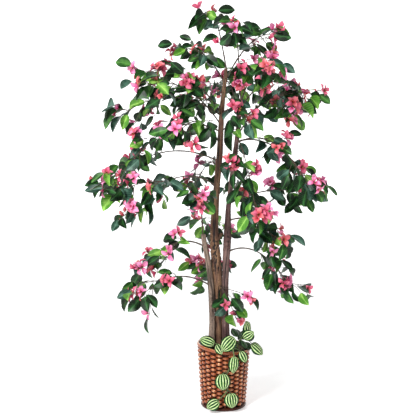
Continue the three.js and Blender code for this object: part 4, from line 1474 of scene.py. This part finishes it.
blossom_kinds = [kind_mesh("blossom", blossom_blades(*shape)) for shape in BLOSSOM_SHAPES]
stamen_kinds = [kind_mesh("stamens", stamen_threads(count=4, length=15))]
throat = bract_finish("magenta throat", (120, 10, 44), (176, 30, 78))
draw = seeded(BLOSSOM_SEED)
blossom_places = {pink: [] for pink in BLOSSOM_PINKS}
stamen_places = []
pedicel_lines = []
for branch, spray in zip(branches, sprays):
    for blossom in spray.blossoms:
        forward, across, face = blossom.frame
        for head in range(1 + int((branch.blooms + 2) * draw())):
            axis = forward
            pedicel = PEDICEL
            if head:
                pedicel = LONG_PEDICEL
                roll = 2 * math.pi * draw()
                tilt = HEAD_TILT + HEAD_TILT_MORE * draw()
                side = across * math.cos(roll) + face * math.sin(roll)
                axis = unit(forward * math.cos(tilt) + side * math.sin(tilt))
            foot = blossom.root + axis * pedicel
            axes = blade_frame(axis, across + 0.3 * face)
            stretch = [HEAD_SMALL + HEAD_GROWS * draw()] * 3
            pink = drawn_row(BLOSSOM_PINKS, draw)
            shape = int((OPEN_SHAPES + 0.5) * draw())
            blossom_places[pink].append((foot, axes, stretch, shape))
            if shape < OPEN_SHAPES:
                stamen_places.append((foot, axes, stretch, 0))
            ends = (blossom.hook, foot + axis * PEDICEL_LAP)
            pedicel_lines.append([(end, PEDICEL_RADIUS) for end in ends])
for pink, (deep, light, _) in BLOSSOM_PINKS.items():
    silk = bract_finish(pink + " silk", deep, light)
    piece = set_out("bracts_" + pink, blossom_kinds, blossom_places[pink], silk, throat)
    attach(piece, "root")
    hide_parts(*MASS_NODES)

dipped, _, _ = mottled(
    "dipped yellow thread",
    (226, 150, 40),
    (250, 214, 110),
    size=0.004,
    span=(0.35, 0.65),
    roughness=0.5,
)
stamens = set_out("stamens", stamen_kinds, stamen_places, dipped)
pedicels = swept("blossom_stalks", pedicel_lines, stalk_green, sides=4)
for piece in (stamens, pedicels):
    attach(piece, "root")
    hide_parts(*MASS_NODES)

# ---------------------------------------------------------------- striped vine
# A short vine of round leaves, striped like a melon, is tucked into the moss and led over the
# rim and down the front. Its stem and stalks are soft green plastic over wire.
VINE_FOOT = 224.5
STRIPED = {
    "striped_leaves_left": (
        [(-116, 62, VINE_FOOT), (-116, 62, 240), (-112, 74, 262)],
        [
            (0.92, (-1, -8, -1), (0.25, -0.9, 0.35), 60, 46),
            (0.97, (11, 5, 0), (0.75, 0.6, -0.3), 54, 36),
        ],
        [],
    ),
    "striped_leaves_right": (
        [(-30, 62, VINE_FOOT), (-30, 62, 244), (-26, 80, 284)],
        [
            (0.97, (19, 13, 7), (0.1, -0.3, 1), 54, 46),
            (0.93, (17, -24, 2), (0.75, -0.1, 0.5), 50, 44),
            (0.85, (38, 13, -18), (0.85, 0.25, -0.65), 60, 48),
        ],
        # Small leaves in the darker skins, painted shade for the shadowed foliage behind the rim.
        [
            (0.7, (-10, 5, 16), (-0.5, 0.2, 0.7), 42, 34),
            (0.7, (16, -7, 8), (0.6, -0.5, -0.3), 40, 34),
            (0.75, (13, 27, 4), (0.5, 0.8, 0.2), 44, 34),
            (0.6, (0, -26, 4), (0.2, -1, -0.3), 38, 32),
            (0.7, (-16, 30, 12), (-0.4, 0.9, 0.6), 42, 34),
            (0.8, (2, -12, 6), (0.4, -0.4, 0.6), 36, 28),
            (0.65, (8, 12, 10), (0.3, 0.2, 0.9), 40, 34),
            (0.6, (14, 12, -4), (0.8, 0.3, -0.2), 38, 34),
        ],
    ),
    "striped_vine": (
        [
            (-84, 62, VINE_FOOT),
            (-84, 62, 242),
            (-80, 88, 264),
            (-74, 112, 258),
            (-72, 117, 205),
            (-86, 114, 150),
            (-83, 108, 92),
            (-97, 105, 60),
        ],
        [
            (0.3, (11, 20, 29), (0.3, -0.65, -0.55), 68, 58),
            (0.45, (-8, 33, -14), (0.4, 0.35, -0.8), 46, 38),
            (0.5, (0, 3, -10), (0.25, -0.15, -1), 64, 42),
            (0.66, (-1, -24, -12), (0.2, 0.05, -1), 64, 62),
            (0.85, (0, 12, -13), (0.25, 0.1, -1), 58, 58),
            (0.98, (-4, -10, -17), (0.3, -0.8, -0.4), 52, 48),
        ],
        [],
    ),
}
STRIPED_OUTLINE = [
    (0, 0.0), (0.04, 0.4), (0.12, 0.68), (0.25, 0.89), (0.42, 1.0), (0.58, 0.97), (0.73, 0.81),
    (0.86, 0.55), (0.95, 0.25), (1, 0.0),
]
STRIPE_SPACING = 12
STRIPED_RAISED = 0.8
STRIPED_COMBED = 0.8
STRIPED_TOP = 0.3 # of the cloth, over the middle of the leaf
STRIPED_BOTTOM = -0.5
DOME = 0.2 # of the leaf's length
DROOP = 0.22
SUNK_SHARE = 0.09 # how far its stalk's joint lies over its lowest edge
PALE_WIDTH = 0.7 # of a stripe, against the green ones
GREEN_WIDTH = 1.2
VINE_RADIUS = 2.3
VINE_STALK = {"thick": 1.6, "thin": 1.4, "bow": 0.15}
VINE_STEPS = 8 # from one point of the route to the next
MELON_SKINS = {
    # size of the mottle in metres, its two tones, specular
    "melon leaf green": (0.01, (8, 40, 14), (30, 88, 32), 0.25),
    "melon leaf stripe": (0.008, (170, 212, 124), (232, 250, 190), 0.25),
    # Darker copies of the two skins above, painted shade for the leaves tucked in shadow.
    "young melon leaf green": (0.01, (4, 18, 8), (14, 42, 18), 0.5),
    "young melon leaf stripe": (0.008, (26, 62, 28), (56, 100, 46), 0.5),
}
SHADED_SKIN = 2 # the first of the two skins of painted shade, which the shaded leaves take

def vine_point(points, share):
    """A smooth line through the points, as a wire bent by hand takes it."""
    place = share * (len(points) - 1)
    step = min(int(place), len(points) - 2)
    rest = place - step
    a, b = points[step], points[step + 1]
    before = points[step - 1] if step else 2 * a - b
    after = points[step + 2] if step + 2 < len(points) else 2 * b - a
    gaps = [np.linalg.norm(q - p) ** 0.5 for p, q in ((before, a), (a, b), (b, after))]
    first = (a - before) / gaps[0] - (b - before) / (gaps[0] + gaps[1]) + (b - a) / gaps[1]
    last = (b - a) / gaps[1] - (after - a) / (gaps[1] + gaps[2]) + (after - b) / gaps[2]
    first, last = first * gaps[1], last * gaps[1]
    cubic = 2 * a - 2 * b + first + last
    square = -3 * a + 3 * b - 2 * first - last
    return a + first * rest + square * rest ** 2 + cubic * rest ** 3


def add_striped_leaf(bm, foot, frame_axes, length, width, skins):
    """Adds a domed, closed leaf. Its stripes run from the stalk to the point."""
    forward, across, face = frame_axes
    edges = [0.0]
    pale_stripes = round(width / STRIPE_SPACING)
    for stripe in range(2 * pale_stripes + 1):
        edges.append(edges[-1] + (PALE_WIDTH if stripe % 2 else GREEN_WIDTH))
    edges = [2 * edge / edges[-1] - 1 for edge in edges]
    tops = []
    bottoms = []
    for share, half in STRIPED_OUTLINE:
        def place(side, lift):
            dome = DOME * length * (1 - side * side * half * half)
            rise = dome * math.sin(math.pi * (0.15 + 0.7 * share)) - DROOP * length * share * share
            point = foot + forward * length * share + across * width / 2 * half * side
            return (point + face * (rise - SUNK_SHARE * length + lift)) * MM

        if not half:
            vert = bm.verts.new(place(0, 0))
            tops.append([vert] * len(edges))
            bottoms.append([vert] * len(edges))
            continue
        top = [bm.verts.new(place(side, STRIPED_TOP)) for side in edges]
        inner = [bm.verts.new(place(side, STRIPED_BOTTOM)) for side in edges[1:-1]]
        tops.append(top)
        bottoms.append([top[0]] + inner + [top[-1]])
    for sheet, is_top in ((tops, True), (bottoms, False)):
        for near, far in zip(sheet, sheet[1:]):
            for j in range(len(edges) - 1):
                corners = list(dict.fromkeys((near[j], near[j + 1], far[j + 1], far[j])))
                leaf_face = bm.faces.new(corners if is_top else corners[::-1])
                leaf_face.material_index = skins + (j % 2 if is_top else 0)


skins = []
for name, (size, dark, light, specular) in MELON_SKINS.items():
    skin, _, _ = mottled(
        name, dark, light, size=size, span=(0.3, 0.7), roughness=0.5, specular=specular
    )
    skins.append(skin)

for name, (route, leaves, shaded_leaves) in STRIPED.items():
    points = []
    for turn_round, radius, height in route:
        angle = math.radians(turn_round)
        points.append(np.array([radius * math.cos(angle), radius * math.sin(angle), height]))
    count = VINE_STEPS * (len(points) - 1)
    vine_lines = [[(vine_point(points, i / count), VINE_RADIUS) for i in range(count + 1)]]
    bm = bmesh.new()
    for number, (share, stalk, point, length, width) in enumerate(leaves + shaded_leaves):
        joint = vine_point(points, share)
        outward = unit(np.array([joint[0], joint[1], 0]))
        sideways = np.array([-outward[1], outward[0], 0])
        root = joint + outward * stalk[0] + sideways * stalk[1] + UP * stalk[2]
        along = outward * point[0] + sideways * point[1] + UP * point[2]
        axes = blade_frame(along, outward + UP * STRIPED_RAISED + FRONT * STRIPED_COMBED)
        # The last leaves of each entry take the darker skins of painted shade.
        add_striped_leaf(bm, root, axes, length, width, 0 if number < len(leaves) else SHADED_SKIN)
        sunk = root + axes[0] * 4 + axes[2] * 1.5
        vine_lines.append(wire_line(joint, sunk, **VINE_STALK))
    piece = new_piece(name + "_blades", bm, skins[0])
    for skin in skins[1:]:
        piece.data.materials.append(skin)
    stem_piece = swept(name + "_stems", vine_lines, stalk_green, sides=8)
    for part in (piece, stem_piece):
        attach(part, "root")
        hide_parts(name)

# ---------------------------------------------------------------- floor and lights
# A wide sheet of white board lies under the tree and a lit white one stands behind it. There is
# a soft light in front on the left, a weaker one on the right, and an even white surround.
BOARD_HALF = 9
BOARD_SHADED = (249, 249, 249)
BOARD_WHITE = (254, 254, 254)
for name, glow, turn, place in (("floor", 0.35, 0, (0, 0, 0)), ("wall_behind", 0.7, 90, (0, 6, 8))):
    bm = bmesh.new()
    bmesh.ops.create_grid(bm, x_segments=2, y_segments=2, size=BOARD_HALF)
    upright = Matrix.Rotation(math.radians(turn), 3, "X")
    bmesh.ops.rotate(bm, verts=bm.verts[:], matrix=upright)
    bmesh.ops.translate(bm, verts=bm.verts[:], vec=place)
    board, shader, _ = mottled(
        name + " board", BOARD_SHADED, BOARD_WHITE, size=0.4, span=(0.2, 0.8), roughness=0.9
    )
    shader.inputs["Emission Color"].default_value = (1, 1, 1, 1)
    shader.inputs["Emission Strength"].default_value = glow
    prop = new_piece(name, bm, board)

AIM = Vector((0, 0, 0.8))
for name, place, size, power in (
    ("key light", (-1.7, -3.0, 2.9), 0.8, 150),
    ("fill light", (2.4, -2.4, 1.6), 1.8, 6),
):
    lamp = bpy.data.objects.new(name, bpy.data.lights.new(name, "AREA"))
    lamp.data.size = size
    lamp.data.energy = power
    lamp.location = place
    lamp.rotation_euler = (AIM - Vector(place)).to_track_quat("-Z", "Y").to_euler()
    scene.collection.objects.link(lamp)

surround = bpy.data.worlds.new("white surround")
surround.use_nodes = True
surround.node_tree.nodes["Background"].inputs["Color"].default_value = (1, 1, 1, 1)
surround.node_tree.nodes["Background"].inputs["Strength"].default_value = 0.38
scene.world = surround
scene.view_settings.view_transform = "Standard"
